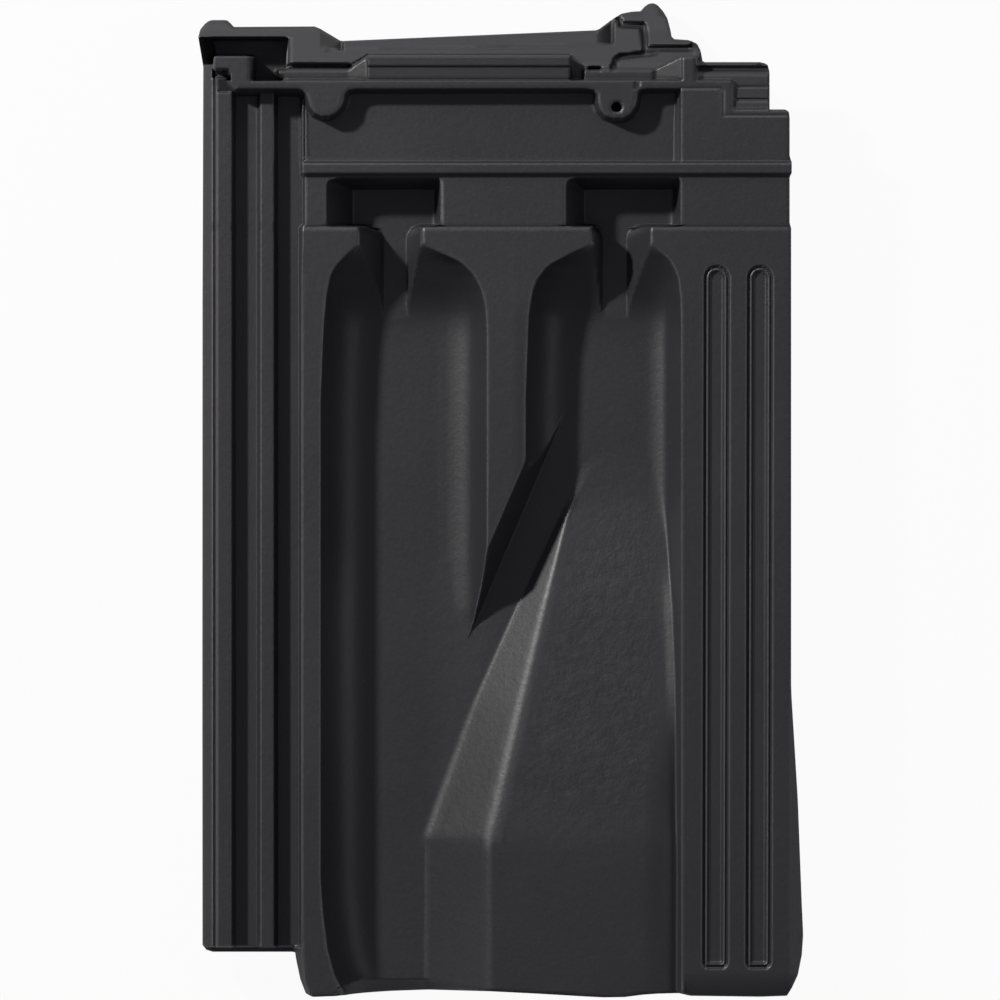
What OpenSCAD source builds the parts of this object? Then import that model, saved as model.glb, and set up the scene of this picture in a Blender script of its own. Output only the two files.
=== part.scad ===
// Interlocking double-trough clay roof tile, pressed and fired as one piece.
// X runs from the underlap flange (left) to the cover flange (right), Y runs from tail to head, Z is up.
// The tile lies on its back: hanging nibs on the floor, weather face up.

/* [Overall] */
// plan length that all the plan shares are multiplied by
plan_l = 435; // [300:1:600]
// height of the field face above the bottom of the hanging nibs
face_h = 41; // [34:0.5:60]
// how far the nibs hang below the underside of the troughs
nib_drop = 7; // [4:0.5:14]
// small overlap used where two bodies are joined
join = 1; // [0.2:0.1:2]

/* [Troughs] */
// depth of both troughs below the field face
trough_depth = 23; // [12:0.5:28]
// depth of the two drain pockets below the small panels
pocket_depth = 19.5; // [10:0.5:24]
// slope setback of the notch wall at the end of the middle rib
notch_draft = 7.5; // [3:0.5:12]
// drop of the raised wedge below the field face at its fold
wedge_drop = 1.5; // [0.5:0.25:4]
// extra drop of the wedge between its fold and the tail
wedge_fall = 1; // [0:0.25:3]
// extra drop of the wedge along its right edge
wedge_dip = 1; // [0:0.25:3]
// clay left above the hollow under the wedge
wedge_wall = 10; // [7:0.5:14]

/* [Head] */
// drop of the small panels below the field face
panel_drop = 1.5; // [0.5:0.25:4]
// drop of the recessed head panel below the field face
head_drop = 10; // [6:0.5:14]
// thickness of the recessed head panel
head_wall = 9.5; // [7:0.5:14]
// drop of the front rim and the two lugs below the field face
rim_drop = 0.5; // [0:0.25:3]
// rise of the weather rib above the field face
rib_rise = 2.5; // [1:0.25:5]
// drop of the front bar and of the ledges behind the rim
bar_drop = 3; // [1:0.5:8]
// drop of the rear bar, which stands higher than the front one
rear_bar_drop = 1.5; // [0.5:0.25:6]
// radius of the two lugs
lug_r = 8.6; // [6:0.1:12]
// diameter of the nail hole
nail_d = 4.5; // [3:0.1:8]
// slope of the head end behind the rim, degrees
head_slope = 30; // [15:1:45]
// depth of the grooves and recess in the sloped head end
head_groove = 6; // [3:0.5:10]
// step of the middle strip between the nibs
strip_step = 2; // [0.5:0.25:5]

/* [Underlap flange] */
// width of the underlap flange from its foot to the cover edge
flange_w = 43.3; // [35:0.1:55]
// height of the flange body up to its rib tops
flange_h = 17.5; // [12:0.5:24]
// depth of the two water grooves
groove_depth = 7.4; // [4:0.1:10]

/* [Cover flange] */
// thickness of the cover flange
cover_t = 9.5; // [7:0.1:14]
// height of the two ribs under the cover flange
cover_rib = 6; // [3:0.1:8]
// depth of the two long pressed flutes in the cover face
flute_depth = 3; // [1:0.1:5]
// slope setback of the flute walls
flute_draft = 2; // [0.5:0.1:4]
// depth of the flared skirt at the tail corner
skirt_h = 12; // [8:0.5:16]

/* [Tail] */
// length of the rounded tail edge
tail_round = 4; // [2:0.25:8]
// length of the lip where the left trough runs out
lip_l = 7; // [4:0.5:12]
// depth of that lip
lip_h = 8; // [4:0.5:12]

/* [Hidden] */
round_fn = 64;

face_z = face_h;
under_z = nib_drop;
floor_z = face_h - trough_depth;
panel_z = face_h - panel_drop;
pocket_z = panel_z - pocket_depth;
head_z = face_h - head_drop;
head_under_z = head_z - head_wall;
rim_z = face_h - rim_drop;
rib_z = face_h + rib_rise;
flange_z = head_z - flange_h;
groove_z = head_z - groove_depth;
cover_z = face_h - cover_t;
cover_rib_z = cover_z - cover_rib;
over_z = face_h + 2 * rib_rise;

// plan stations across the tile, left to right
flange_foot_share = -0.298;
cover_left_share = -0.1985;
right_wall_share = 0.1825;
cover_right_share = 0.291;
lug_left_share = -0.175;
lug_right_share = 0.117;
bar_left_share = -0.131;
bar_right_share = 0.071;
corner_left_share = 0.183;
corner_mid_share = 0.197;
corner_right_share = 0.233;

// plan stations along the tile, tail to head
tail_share = -0.498;
flange_tail_share = -0.452;
fold_share = -0.338;
field_head_share = 0.2745;
pocket_tail_share = 0.272;
rib_low_share = 0.328;
rib_top_low_share = 0.3305;
rib_top_high_share = 0.336;
rib_high_share = 0.339;
cover_head_share = 0.392;
cover_rim_share = 0.384;
lug_share = 0.400;
nail_x_share = 0.1165;
nail_y_share = 0.393;
rim_low_share = 0.412;
rim_high_share = 0.420;
bar_low_share = 0.433;
bar_high_share = 0.445;
nib_low_share = 0.428;

// section of the main body, across the tile, as shares of plan length and of the body height
body_section_shares = [
    [-0.207, 0], [-0.1985, 1], [0.195, 1], [0.206, 0.68], [0.192, 0]];

// plan of the main body at the tail and along its sides
body_plan_shares = [
    [-0.207, 0.2745], [-0.207, -0.440], [-0.203, -0.460], [-0.199, -0.480], [-0.194, -0.493],
    [-0.188, -0.496], [-0.160, -0.495], [-0.070, -0.4905], [-0.010, -0.4905], [0.040, -0.493],
    [0.100, -0.498], [0.120, -0.498], [0.150, -0.494], [0.180, -0.492], [0.206, -0.493], [0.206, 0.2745]];

// section of the underlap flange: foot, outer slope, ledge, groove, rib, groove, as shares of its width and height
flange_section_shares = [
    [0, 0], [0.11, 0.90], [0.15, 1], [0.307, 1], [0.345, 0.577], [0.563, 0.577], [0.602, 1], [0.727, 1],
    [0.766, 0.577], [0.98, 0.577], [1.03, 0.577], [1.03, 0]];

// plan of the underlap flange with its rounded tail corner
flange_plan_shares = [
    [-0.299, 0.425], [-0.298, -0.440], [-0.2955, -0.448], [-0.288, -0.452], [-0.195, -0.452], [-0.195, 0.425]];

// plan of the cover flange with its stepped head corner and rounded tail corner
cover_plan_shares = [
    [0.175, 0.420], [0.175, -0.492], [0.190, -0.495], [0.283, -0.496], [0.289, -0.492], [0.291, -0.484],
    [0.291, 0.392], [0.233, 0.392], [0.233, 0.420]];

// outline of the left trough at the field face and at its floor
left_rim_shares = [
    [-0.1406, 0.2575], [-0.1625, 0.236], [-0.169, 0.225], [-0.173, 0.206], [-0.1756, 0.175], [-0.179, 0.100],
    [-0.179, -0.380], [-0.177, -0.410], [-0.172, -0.450], [-0.164, -0.480], [-0.155, -0.510],
    [-0.012, -0.510], [-0.012, -0.060], [-0.012, 0.178], [-0.013, 0.190], [-0.017, 0.209], [-0.037, 0.237],
    [-0.056, 0.246], [-0.080, 0.2575]];
left_floor_shares = [
    [-0.117, 0.184], [-0.120, 0.180], [-0.122, 0.172], [-0.122, 0.162], [-0.122, 0.150], [-0.122, 0.080],
    [-0.122, -0.380], [-0.122, -0.410], [-0.121, -0.450], [-0.119, -0.480], [-0.118, -0.510],
    [-0.055, -0.510], [-0.055, -0.060], [-0.055, 0.150], [-0.056, 0.155], [-0.060, 0.165], [-0.070, 0.175],
    [-0.080, 0.180], [-0.090, 0.184]];

// outline of the right trough at the field face and at its floor
right_rim_shares = [
    [0.0938, 0.258], [0.0725, 0.2475], [0.049, 0.235], [0.0375, 0.221], [0.033, 0.209], [0.029, 0.184],
    [0.026, 0.100], [0.026, -0.510], [0.1795, -0.510], [0.1825, 0.180], [0.182, 0.200], [0.180, 0.220],
    [0.170, 0.241], [0.1506, 0.258]];
right_floor_shares = [
    [0.103, 0.188], [0.098, 0.186], [0.090, 0.182], [0.085, 0.176], [0.082, 0.170], [0.078, 0.155],
    [0.076, 0.080], [0.076, -0.510], [0.155, -0.510], [0.155, 0.160], [0.152, 0.170], [0.148, 0.178],
    [0.140, 0.182], [0.127, 0.184]];

// how the trough wall leaves the rim and turns into the floor: share inward, share down
wall_turn_shares = [[0, 0], [0.06, 0.22], [0.13, 0.44], [0.24, 0.65], [0.40, 0.82], [0.62, 0.94], [1, 1]];

// drain pockets and their gutters: rim and floor spans
left_pocket_shares = [[-0.172, -0.060], [-0.148, -0.078]];
right_pocket_shares = [[0.066, 0.180], [0.083, 0.157]];
pocket_span_shares = [[0.272, 0.320], [0.272, 0.312]];
left_gutter_shares = [[-0.1405, -0.080], [-0.118, -0.092]];
right_gutter_shares = [[0.0935, 0.1505], [0.103, 0.1275]];
gutter_end_share = 0.15;

// cut that ends the middle rib along the diagonal notch
notch_floor_shares = [[0.078, 0.119], [0.090, 0.080], [0.090, -0.510], [-0.060, -0.510], [-0.060, -0.206]];
notch_side_shares = [-0.921, 0.390];

// raised wedge: ridge, foot and right edge
wedge_tip_share = [0.075, 0.020];
wedge_tip_right_share = [0.190, 0.050];
ridge_fold_share = [-0.0105, -0.338];
ridge_tail_share = [-0.010, -0.500];
foot_fold_share = [-0.072, -0.338];
foot_tail_share = [-0.073, -0.500];
wedge_right_share = 0.190;

// sloped head end with its two nib blocks, knobs and stepped right corner
head_end_shares = [
    [-0.298, 0.412], [-0.298, 0.435], [-0.3025, 0.467], [-0.296, 0.478], [-0.292, 0.481], [-0.273, 0.481],
    [-0.268, 0.4745], [-0.185, 0.4745], [-0.159, 0.459], [0.097, 0.469], [0.120, 0.486], [0.132, 0.489],
    [0.141, 0.4895], [0.146, 0.495], [0.152, 0.498], [0.159, 0.495], [0.166, 0.486], [0.172, 0.462],
    [0.190, 0.4605], [0.199, 0.454], [0.203, 0.438], [0.263, 0.438], [0.269, 0.433], [0.269, 0.388],
    [0.197, 0.388], [0.197, 0.412]];
strip_shares = [[-0.159, 0.449], [-0.159, 0.480], [0.098, 0.500], [0.098, 0.456], [0.066, 0.455]];
left_nib_shares = [[-0.3025, 0.500], [-0.159, 0.500], [-0.178, 0.425], [-0.3025, 0.425]];
right_nib_shares = [[0.098, 0.510], [0.172, 0.510], [0.172, 0.425], [0.098, 0.425]];
recess_shares = [[-0.310, 0.463], [-0.212, 0.463], [-0.212, 0.424], [-0.310, 0.424]];
head_groove_shares = [
    [[0.120, 0.471], [0.150, 0.478]], [[0.143, 0.446], [0.150, 0.478]], [[0.143, 0.446], [0.190, 0.454]],
    [[0.200, 0.425], [0.268, 0.432]], [[0.115, 0.440], [0.150, 0.446]], [[0.235, 0.399], [0.269, 0.402]],
    [[-0.210, 0.432], [-0.150, 0.438]]];

// hook at the left end of the rim
hook_shares = [
    [-0.287, 0.430], [-0.287, 0.443], [-0.285, 0.445], [-0.250, 0.445], [-0.248, 0.443], [-0.248, 0.420],
    [-0.180, 0.420], [-0.180, 0.412], [-0.266, 0.412], [-0.268, 0.414], [-0.270, 0.430]];
// blocks behind the rim: sloped ledges beside the pockets and the corner block
left_ledge_shares = [[-0.225, 0.420], [-0.225, 0.431], [-0.150, 0.431], [-0.131, 0.445], [-0.131, 0.420]];
right_ledge_shares = [[0.083, 0.420], [0.083, 0.431], [0.153, 0.431], [0.181, 0.445], [0.197, 0.445], [0.197, 0.420]];

// cover flange flutes: left and right spans, and their ends
flute_left_shares = [0.2037, 0.2297];
flute_right_shares = [0.2473, 0.2733];
flute_tail_share = -0.470;
flute_head_share = 0.236;

// ribs under the cover flange
cover_rib_shares = [[0.2205, 0.2465], [0.263, 0.288]];
cover_rib_tail_share = -0.450;
cover_rib_head_share = 0.380;

// flared skirt at the tail end of the cover flange
skirt_shares = [
    [0.2895, -0.190], [0.2964, -0.300], [0.300, -0.400], [0.3025, -0.440], [0.299, -0.465], [0.291, -0.485],
    [0.284, -0.490]];

// hollows in the underside
hollow_head_share = 0.262;
hollow_tail_share = -0.510;
rib_hollow_tail_share = 0.080;
rib_hollow_shares = [[-0.030, 0], [0.048, 0], [0.014, 0.62], [0, 0.62]];
edge_hollow_shares = [[-0.184, 0], [-0.146, 0], [-0.174, 0.48]];
bridge_hollow_shares = [[-0.048, 0.262], [-0.048, 0.335], [0.052, 0.335], [0.052, 0.262]];
wedge_hollow_shares = [[0.085, -0.010], [0.152, -0.010], [0.168, -0.338], [0.168, -0.510], [-0.030, -0.510],
    [-0.030, -0.338]];
wedge_roof_shares = [[0.090, -0.040], [0.148, -0.040], [0.160, -0.338], [0.160, -0.510], [0.010, -0.510],
    [0.010, -0.338]];

function plan(shares) = [for (p = shares) plan_l * p];
function at(share) = plan_l * share;
function section(shares, low, high) = [for (p = shares) [plan_l * p[0], low + (high - low) * p[1]]];
function slope_z(y) = head_z - (y - at(rim_high_share)) * tan(head_slope);
function ring_walk(n, i) = (i + 1) % n;

// prism with an X-Y outline
module upright(points, low, high)
    translate([0, 0, low])
        linear_extrude(height = high - low)
            polygon(points);

// prism with an X-Z outline
module along_y(points, low, high)
    translate([0, high, 0])
        rotate([90, 0, 0])
            linear_extrude(height = high - low)
                polygon(points);

// prism with a Y-Z outline
module along_x(points, low, high)
    translate([low, 0, 0])
        rotate([90, 0, 90])
            linear_extrude(height = high - low)
                polygon(points);

// upright box given by two plan corners
module box(low, high, z_low, z_high)
    translate([low[0], low[1], z_low])
        cube([high[0] - low[0], high[1] - low[1], z_high - z_low]);

// closed body through rings of points, listed from bottom to top, each ring counter-clockwise from above
module rings(levels) {
    n = len(levels[0]);
    m = len(levels);
    sides = [for (k = [0 : m - 2], i = [0 : n - 1], half = [0, 1])
        half == 0
            ? [k * n + i, (k + 1) * n + i, (k + 1) * n + ring_walk(n, i)]
            : [k * n + i, (k + 1) * n + ring_walk(n, i), k * n + ring_walk(n, i)]];
    bottom = [for (i = [1 : n - 2]) [0, i, i + 1]];
    top = [for (i = [1 : n - 2]) [(m - 1) * n, (m - 1) * n + i + 1, (m - 1) * n + i]];
    polyhedron(points = [for (l = levels, p = l) p], faces = concat(sides, bottom, top), convexity = 6);
}

// trough cutter: rim outline at the face, floor outline below, joined by the curved wall
module trough(rim, floor_outline) {
    turn = [for (i = [len(wall_turn_shares) - 1 : -1 : 0]) wall_turn_shares[i]];
    walls = [for (t = turn)
        [for (i = [0 : len(rim) - 1]) concat(plan_l * (rim[i] + (floor_outline[i] - rim[i]) * t[0]),
            face_z - trough_depth * t[1])]];
    open = [for (p = rim) concat(plan_l * p, over_z)];
    rings(concat(walls, [open]));
}

// pocket cutter with four sloped walls
module pocket(spans) {
    y_rim = plan(pocket_span_shares)[0];
    y_floor = plan(pocket_span_shares)[1];
    x_rim = at(spans[0]);
    x_floor = at(spans[1]);
    rings([
        [[x_floor[0], y_floor[0], pocket_z], [x_floor[1], y_floor[0], pocket_z],
            [x_floor[1], y_floor[1], pocket_z], [x_floor[0], y_floor[1], pocket_z]],
        [[x_rim[0], y_rim[0], panel_z], [x_rim[1], y_rim[0], panel_z],
            [x_rim[1], y_rim[1], panel_z], [x_rim[0], y_rim[1], panel_z]],
        [[x_rim[0], y_rim[0], over_z], [x_rim[1], y_rim[0], over_z],
            [x_rim[1], y_rim[1], over_z], [x_rim[0], y_rim[1], over_z]]]);
}

// gutter cutter that drains a pocket into its trough
module gutter(spans)
    along_y([[at(spans[1][0]), pocket_z], [at(spans[1][1]), pocket_z], [at(spans[0][1]), face_z],
        [at(spans[0][1]), over_z], [at(spans[0][0]), over_z], [at(spans[0][0]), face_z]],
        at(gutter_end_share), at(pocket_tail_share) + join);

// cutter for everything of the middle rib beyond the diagonal notch wall
module notch() {
    n = len(notch_floor_shares);
    low = [for (p = notch_floor_shares) concat(plan_l * p, floor_z)];
    high = [for (i = [0 : n - 1])
        concat(plan_l * notch_floor_shares[i] + ((i == 0 || i == n - 1) ? notch_draft * notch_side_shares : [0, 0]),
            over_z)];
    rings([[for (i = [n - 1 : -1 : 0]) low[i]], [for (i = [n - 1 : -1 : 0]) high[i]]]);
}

// raised wedge that closes the right trough and turns its water into the left one
module wedge() {
    ridge_z = face_z - wedge_drop;
    tail_z = ridge_z - wedge_fall;
    base_z = floor_z - join;
    top = [
        concat(plan_l * wedge_tip_share, floor_z),
        concat(plan_l * wedge_tip_right_share, floor_z),
        [at(wedge_right_share), at(fold_share), ridge_z - wedge_dip],
        [at(wedge_right_share), at(ridge_tail_share[1]), tail_z - wedge_dip],
        concat(plan_l * ridge_tail_share, tail_z),
        concat(plan_l * ridge_fold_share, ridge_z),
        concat(plan_l * foot_fold_share, floor_z),
        concat(plan_l * foot_tail_share, floor_z)];
    low = [for (p = top) [p[0], p[1], base_z]];
    polyhedron(points = concat(top, low), faces = [
        [1, 5, 0], [2, 5, 1], [2, 3, 4], [2, 4, 5], [5, 6, 0], [5, 7, 6], [5, 4, 7],
        [14, 15, 8], [15, 11, 8], [11, 10, 8], [10, 9, 8],
        [0, 6, 14], [0, 14, 8], [6, 7, 15], [6, 15, 14], [7, 4, 3], [7, 3, 11], [7, 11, 15],
        [3, 2, 10], [3, 10, 11], [2, 1, 9], [2, 9, 10], [1, 0, 8], [1, 8, 9]],
        convexity = 4);
}

// hollow under the wedge, one wall thickness below its top
module wedge_hollow() {
    rise = face_z - wedge_drop - wedge_wall;
    tops = [under_z + join, under_z + join, rise, rise - wedge_fall, rise - wedge_fall, rise];
    n = len(wedge_hollow_shares);
    rings([
        [for (i = [n - 1 : -1 : 0]) concat(plan_l * wedge_hollow_shares[i], under_z - join)],
        [for (i = [n - 1 : -1 : 0]) concat(plan_l * wedge_roof_shares[i], tops[i])]]);
}

// long pressed flute with sloped sides and rounded ends
module flute(span) {
    wide = at(span[1] - span[0]);
    mid = at(span[1] + span[0]) / 2;
    r = wide / 2;
    y0 = at(flute_tail_share) + r;
    y1 = at(flute_head_share) - r;
    low_r = r - flute_draft;
    low_z = face_z - flute_depth;
    along_y([[mid - low_r, low_z], [mid + low_r, low_z], [mid + r, face_z], [mid + r, over_z],
        [mid - r, over_z], [mid - r, face_z]], y0, y1);
    for (y = [y0, y1])
        translate([mid, y, low_z]) {
            cylinder(h = flute_depth, r1 = low_r, r2 = r, $fn = round_fn);
            translate([0, 0, flute_depth])
                cylinder(h = over_z - face_z, r = r, $fn = round_fn);
        }
}

// main body with small panels and pockets, before the hollows
module body() {
    intersection() {
        along_y(section(body_section_shares, under_z, face_z), at(tail_share) - join, at(field_head_share));
        upright(plan(body_plan_shares), under_z, over_z);
    }
    along_y(section(body_section_shares, under_z, panel_z), at(field_head_share) - join, at(rib_low_share) + join);
}

// underlap flange with two ribs and two water grooves
module underlap_flange() {
    foot = at(flange_foot_share);
    points = [for (p = flange_section_shares) [foot + flange_w * p[0], flange_z + flange_h * p[1]]];
    intersection() {
        along_y(points, at(flange_tail_share), at(rim_high_share) + join);
        upright(plan(flange_plan_shares), flange_z, over_z);
    }
}

// cover flange with its two ribs that drop into the neighbour's grooves
module cover_flange() {
    difference() {
        upright(plan(cover_plan_shares), cover_z, face_z);
        box([at(right_wall_share) - at(right_wall_share) / 2, at(rib_top_low_share)],
            [at(cover_right_share) + join, at(rim_high_share) + join], panel_z, over_z);
        box([at(right_wall_share) - at(right_wall_share) / 2, at(field_head_share)],
            [at(cover_right_share) + join, at(rib_top_high_share)], panel_z, over_z);
    }
    for (r = cover_rib_shares)
        along_y([[at(r[0]) + cover_rib / 3, cover_rib_z], [at(r[1]) - cover_rib / 3, cover_rib_z],
            [at(r[1]), cover_z + join], [at(r[0]), cover_z + join]],
            at(cover_rib_tail_share), at(cover_rib_head_share));
    box([at(corner_right_share), at(cover_rim_share)], [at(cover_right_share), at(cover_head_share)], cover_z, rim_z);
}

// flared skirt on the free side of the cover flange near the tail
module skirt() {
    inner = at(cover_right_share) - cover_t;
    n = len(skirt_shares);
    low = [for (i = [n - 1 : -1 : 0]) concat(plan_l * skirt_shares[i], face_z - skirt_h)];
    mid = [for (p = low) [at(cover_right_share) + (p[0] - at(cover_right_share)) / 4, p[1], face_z - tail_round]];
    rings([
        concat([[inner, low[n - 1][1], face_z - skirt_h], [inner, low[0][1], face_z - skirt_h]], low),
        concat([[inner, low[n - 1][1], face_z - tail_round], [inner, low[0][1], face_z - tail_round]], mid)]);
}

// recessed head panel, weather rib, rim, lugs and the stepped bars behind the rim
module head() {
    box([at(cover_left_share), at(rib_low_share)], [at(right_wall_share), at(rim_high_share)], head_under_z, head_z);
    along_x([[at(rib_low_share), panel_z - join], [at(rib_top_low_share), rib_z], [at(rib_top_high_share), rib_z],
        [at(rib_high_share), head_z], [at(rib_high_share), head_under_z], [at(rib_low_share), head_under_z]],
        at(cover_left_share), at(right_wall_share));
    along_x([[at(rib_low_share), panel_z - join], [at(rib_top_low_share), rib_z], [at(rib_top_high_share), rib_z],
        [at(rib_high_share), panel_z - join]],
        at(right_wall_share) - join, at(cover_right_share));
    upright(plan(hook_shares), groove_z - join, rim_z);
    box([at(lug_left_share) - lug_r, at(rim_low_share)], [at(corner_right_share), at(rim_high_share)],
        head_under_z, rim_z);
    for (x = [at(lug_left_share), at(lug_right_share)]) {
        translate([x, at(lug_share), head_under_z])
            cylinder(h = rim_z - head_under_z, r = lug_r, $fn = round_fn);
        box([x - lug_r, at(lug_share)], [x + lug_r, at(rim_low_share) + join], head_under_z, rim_z);
    }
    box([at(bar_left_share), at(rim_high_share) - join], [at(bar_right_share), at(bar_low_share)],
        head_under_z, face_z - bar_drop);
    box([at(bar_left_share), at(bar_low_share) - join], [at(bar_right_share), at(bar_high_share)],
        head_under_z, face_z - rear_bar_drop);
    upright(plan(left_ledge_shares), head_under_z, face_z - bar_drop);
    upright(plan(right_ledge_shares), head_under_z, face_z - bar_drop);
    box([at(corner_left_share), at(rim_high_share) - join], [at(corner_mid_share), at(bar_high_share)],
        head_under_z, face_z - bar_drop);
}

// half space above the sloped head end
module above_slope(drop)
    translate([0, at(rim_high_share), head_z - drop])
        rotate([-head_slope, 0, 0])
            translate([-plan_l, -plan_l, 0])
                cube([2 * plan_l, 2 * plan_l, plan_l]);

// sloped head end behind the rim with the two hanging nibs
module head_end() {
    difference() {
        union() {
            upright(plan(head_end_shares), under_z, face_z);
            intersection() {
                upright(plan(head_end_shares), 0, face_z);
                union() {
                    upright(plan(left_nib_shares), 0, under_z + join);
                    upright(plan(right_nib_shares), 0, under_z + join);
                }
            }
        }
        above_slope(0);
        intersection() {
            above_slope(strip_step);
            upright(plan(strip_shares), 0, face_z);
        }
        upright(plan(recess_shares), slope_z(at(nib_low_share)) - 2 * head_groove, face_z);
        for (g = head_groove_shares)
            box(plan_l * g[0], plan_l * g[1], slope_z(at(g[1][1])) - head_groove, face_z);
    }
}

// rounded tail edge and the run-out lip of the left trough
module tail_cut() {
    y = at(tail_share);
    along_x([[y + tail_round, face_z], [y + tail_round / 3, face_z - tail_round / 3], [y, face_z - tail_round],
        [y - 2 * tail_round, face_z - tail_round], [y - 2 * tail_round, over_z], [y + tail_round, over_z]],
        -plan_l, plan_l);
    along_x([[y + lip_l, floor_z], [y + lip_l / 3, floor_z - lip_h / 3], [y, floor_z - lip_h],
        [y - lip_l, floor_z - lip_h], [y - lip_l, floor_z], [y - lip_l, face_z], [y + lip_l, face_z]],
        at(left_rim_shares[9][0]), at(foot_tail_share[0]));
}

// everything that is pressed up from the clay, before the hollows
module blank() {
    body();
    underlap_flange();
    cover_flange();
    skirt();
    head();
    head_end();
}

// both troughs and the diagonal notch between them
module troughed()
    difference() {
        difference() {
            difference() {
                blank();
                trough(left_rim_shares, left_floor_shares);
            }
            trough(right_rim_shares, right_floor_shares);
        }
        notch();
    }

// drain pockets and their gutters
module drained()
    difference() {
        difference() {
            difference() {
                difference() {
                    troughed();
                    pocket(left_pocket_shares);
                }
                pocket(right_pocket_shares);
            }
            gutter(left_gutter_shares);
        }
        gutter(right_gutter_shares);
    }

// flutes in the cover face
module fluted()
    difference() {
        difference() {
            drained();
            flute(flute_left_shares);
        }
        flute(flute_right_shares);
    }

// underside hollows beside the troughs and between the pockets
module relieved()
    difference() {
        difference() {
            difference() {
                fluted();
                along_y(section(rib_hollow_shares, under_z - join, face_z - wedge_wall),
                    at(rib_hollow_tail_share), at(hollow_head_share));
            }
            along_y(section(edge_hollow_shares, under_z - join, face_z), at(hollow_tail_share), at(hollow_head_share));
        }
        upright(plan(bridge_hollow_shares), 0, head_under_z);
    }

// raised wedge with its own hollow
module wedged()
    difference() {
        union() {
            relieved();
            intersection() {
                wedge();
                upright(plan(body_plan_shares), 0, over_z);
            }
        }
        wedge_hollow();
    }

module roof_tile()
    color([0.22, 0.22, 0.23])
        difference() {
            difference() {
                wedged();
                tail_cut();
            }
            translate([at(nail_x_share), at(nail_y_share), 0])
                cylinder(h = over_z, d = nail_d, $fn = round_fn);
        }

roof_tile();
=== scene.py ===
import math
import bpy
import numpy as np
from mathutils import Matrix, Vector


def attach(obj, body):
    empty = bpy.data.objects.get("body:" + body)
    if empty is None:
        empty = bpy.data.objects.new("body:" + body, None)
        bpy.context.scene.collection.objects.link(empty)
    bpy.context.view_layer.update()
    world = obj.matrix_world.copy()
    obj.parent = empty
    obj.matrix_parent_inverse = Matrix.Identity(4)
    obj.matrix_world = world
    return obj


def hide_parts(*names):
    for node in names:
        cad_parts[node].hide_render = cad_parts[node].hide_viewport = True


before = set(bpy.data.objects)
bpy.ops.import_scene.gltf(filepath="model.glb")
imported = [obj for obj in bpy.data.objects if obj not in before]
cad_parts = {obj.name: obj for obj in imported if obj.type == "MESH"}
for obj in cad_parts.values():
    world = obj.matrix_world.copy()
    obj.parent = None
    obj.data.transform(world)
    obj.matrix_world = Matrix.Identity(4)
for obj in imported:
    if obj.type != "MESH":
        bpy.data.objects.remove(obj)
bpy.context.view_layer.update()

# Plan places are written on a sheet of 1000 x 1000 units laid over the tile, x to the right and y from head to
# tail. One unit is 0.435 mm. Heights are millimetres above the field face, so most of them are negative.
UNIT_MM = 0.435
MM = 0.001
SHEET_MIDDLE = 500.0
FACE_MM = 41.0

# heights of the pressed forms
LEFT_TROUGH = -24.2
RIGHT_TROUGH = -21.4
SMALL_PANEL = -0.3
HEAD_PANEL = -10.3
HEAD_RIM = -0.5
WEATHER_RIB = 2.5
FLANGE_TOP = -10.0
FLANGE_GROOVE = -17.4
FLUTE_FLOOR = -2.6
FLUTE_BEAD = -0.9

# silhouette of the tile, clockwise from the tail corner of the underlap flange
SILHOUETTE = [
    (201.8, 946), (201.6, 700), (201.8, 300), (202.6, 66), (197.5, 36), (199.5, 28), (205.5, 20.5), (210.5, 18.5),
    (226, 18.5), (230, 22), (233, 25.5), (314, 25), (320, 27.5), (341, 39.8), (470, 34.3), (598, 28.8), (612, 18),
    (622, 12), (632, 10), (641, 9.5), (645, 5), (649, 2), (653, 1), (658, 3), (664, 10), (668, 17), (671, 29),
    (672.5, 37.8), (690, 39), (697, 42.5), (701, 50.5), (703, 61.6), (763, 61.6), (768, 64.6), (769.7, 71),
    (769.7, 109.3), (786, 109.3), (789, 112), (789.7, 118), (789.7, 158), (791.7, 161), (791.7, 173), (789.7, 177),
    (789.7, 223), (791.2, 228), (791.2, 690), (798, 800), (801.8, 900), (803.4, 935), (802.0, 955),
    (798, 975), (792, 988), (787, 996), (760, 997), (690, 996), (680, 993.5), (650, 994), (622, 997.6),
    (600, 997.6), (540, 994), (490, 991.5), (430, 991.5), (390, 993), (340, 996), (313, 997), (305.5, 994),
    (300, 980), (296, 962), (294.5, 953), (212, 953), (205.5, 951)]
NAIL_CENTRE = (616.5, 107.0)
NAIL_RADIUS = 5.1
NAIL_CORNERS = 24
NAIL_HOLE = [(NAIL_CENTRE[0] + NAIL_RADIUS * math.cos(a), NAIL_CENTRE[1] + NAIL_RADIUS * math.sin(a))
             for a in np.linspace(0, 2 * math.pi, NAIL_CORNERS + 1)[:-1]]
NAIL_PLACE = ((NAIL_CENTRE[0] - SHEET_MIDDLE) * UNIT_MM * MM,
              (SHEET_MIDDLE - NAIL_CENTRE[1]) * UNIT_MM * MM)

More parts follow.
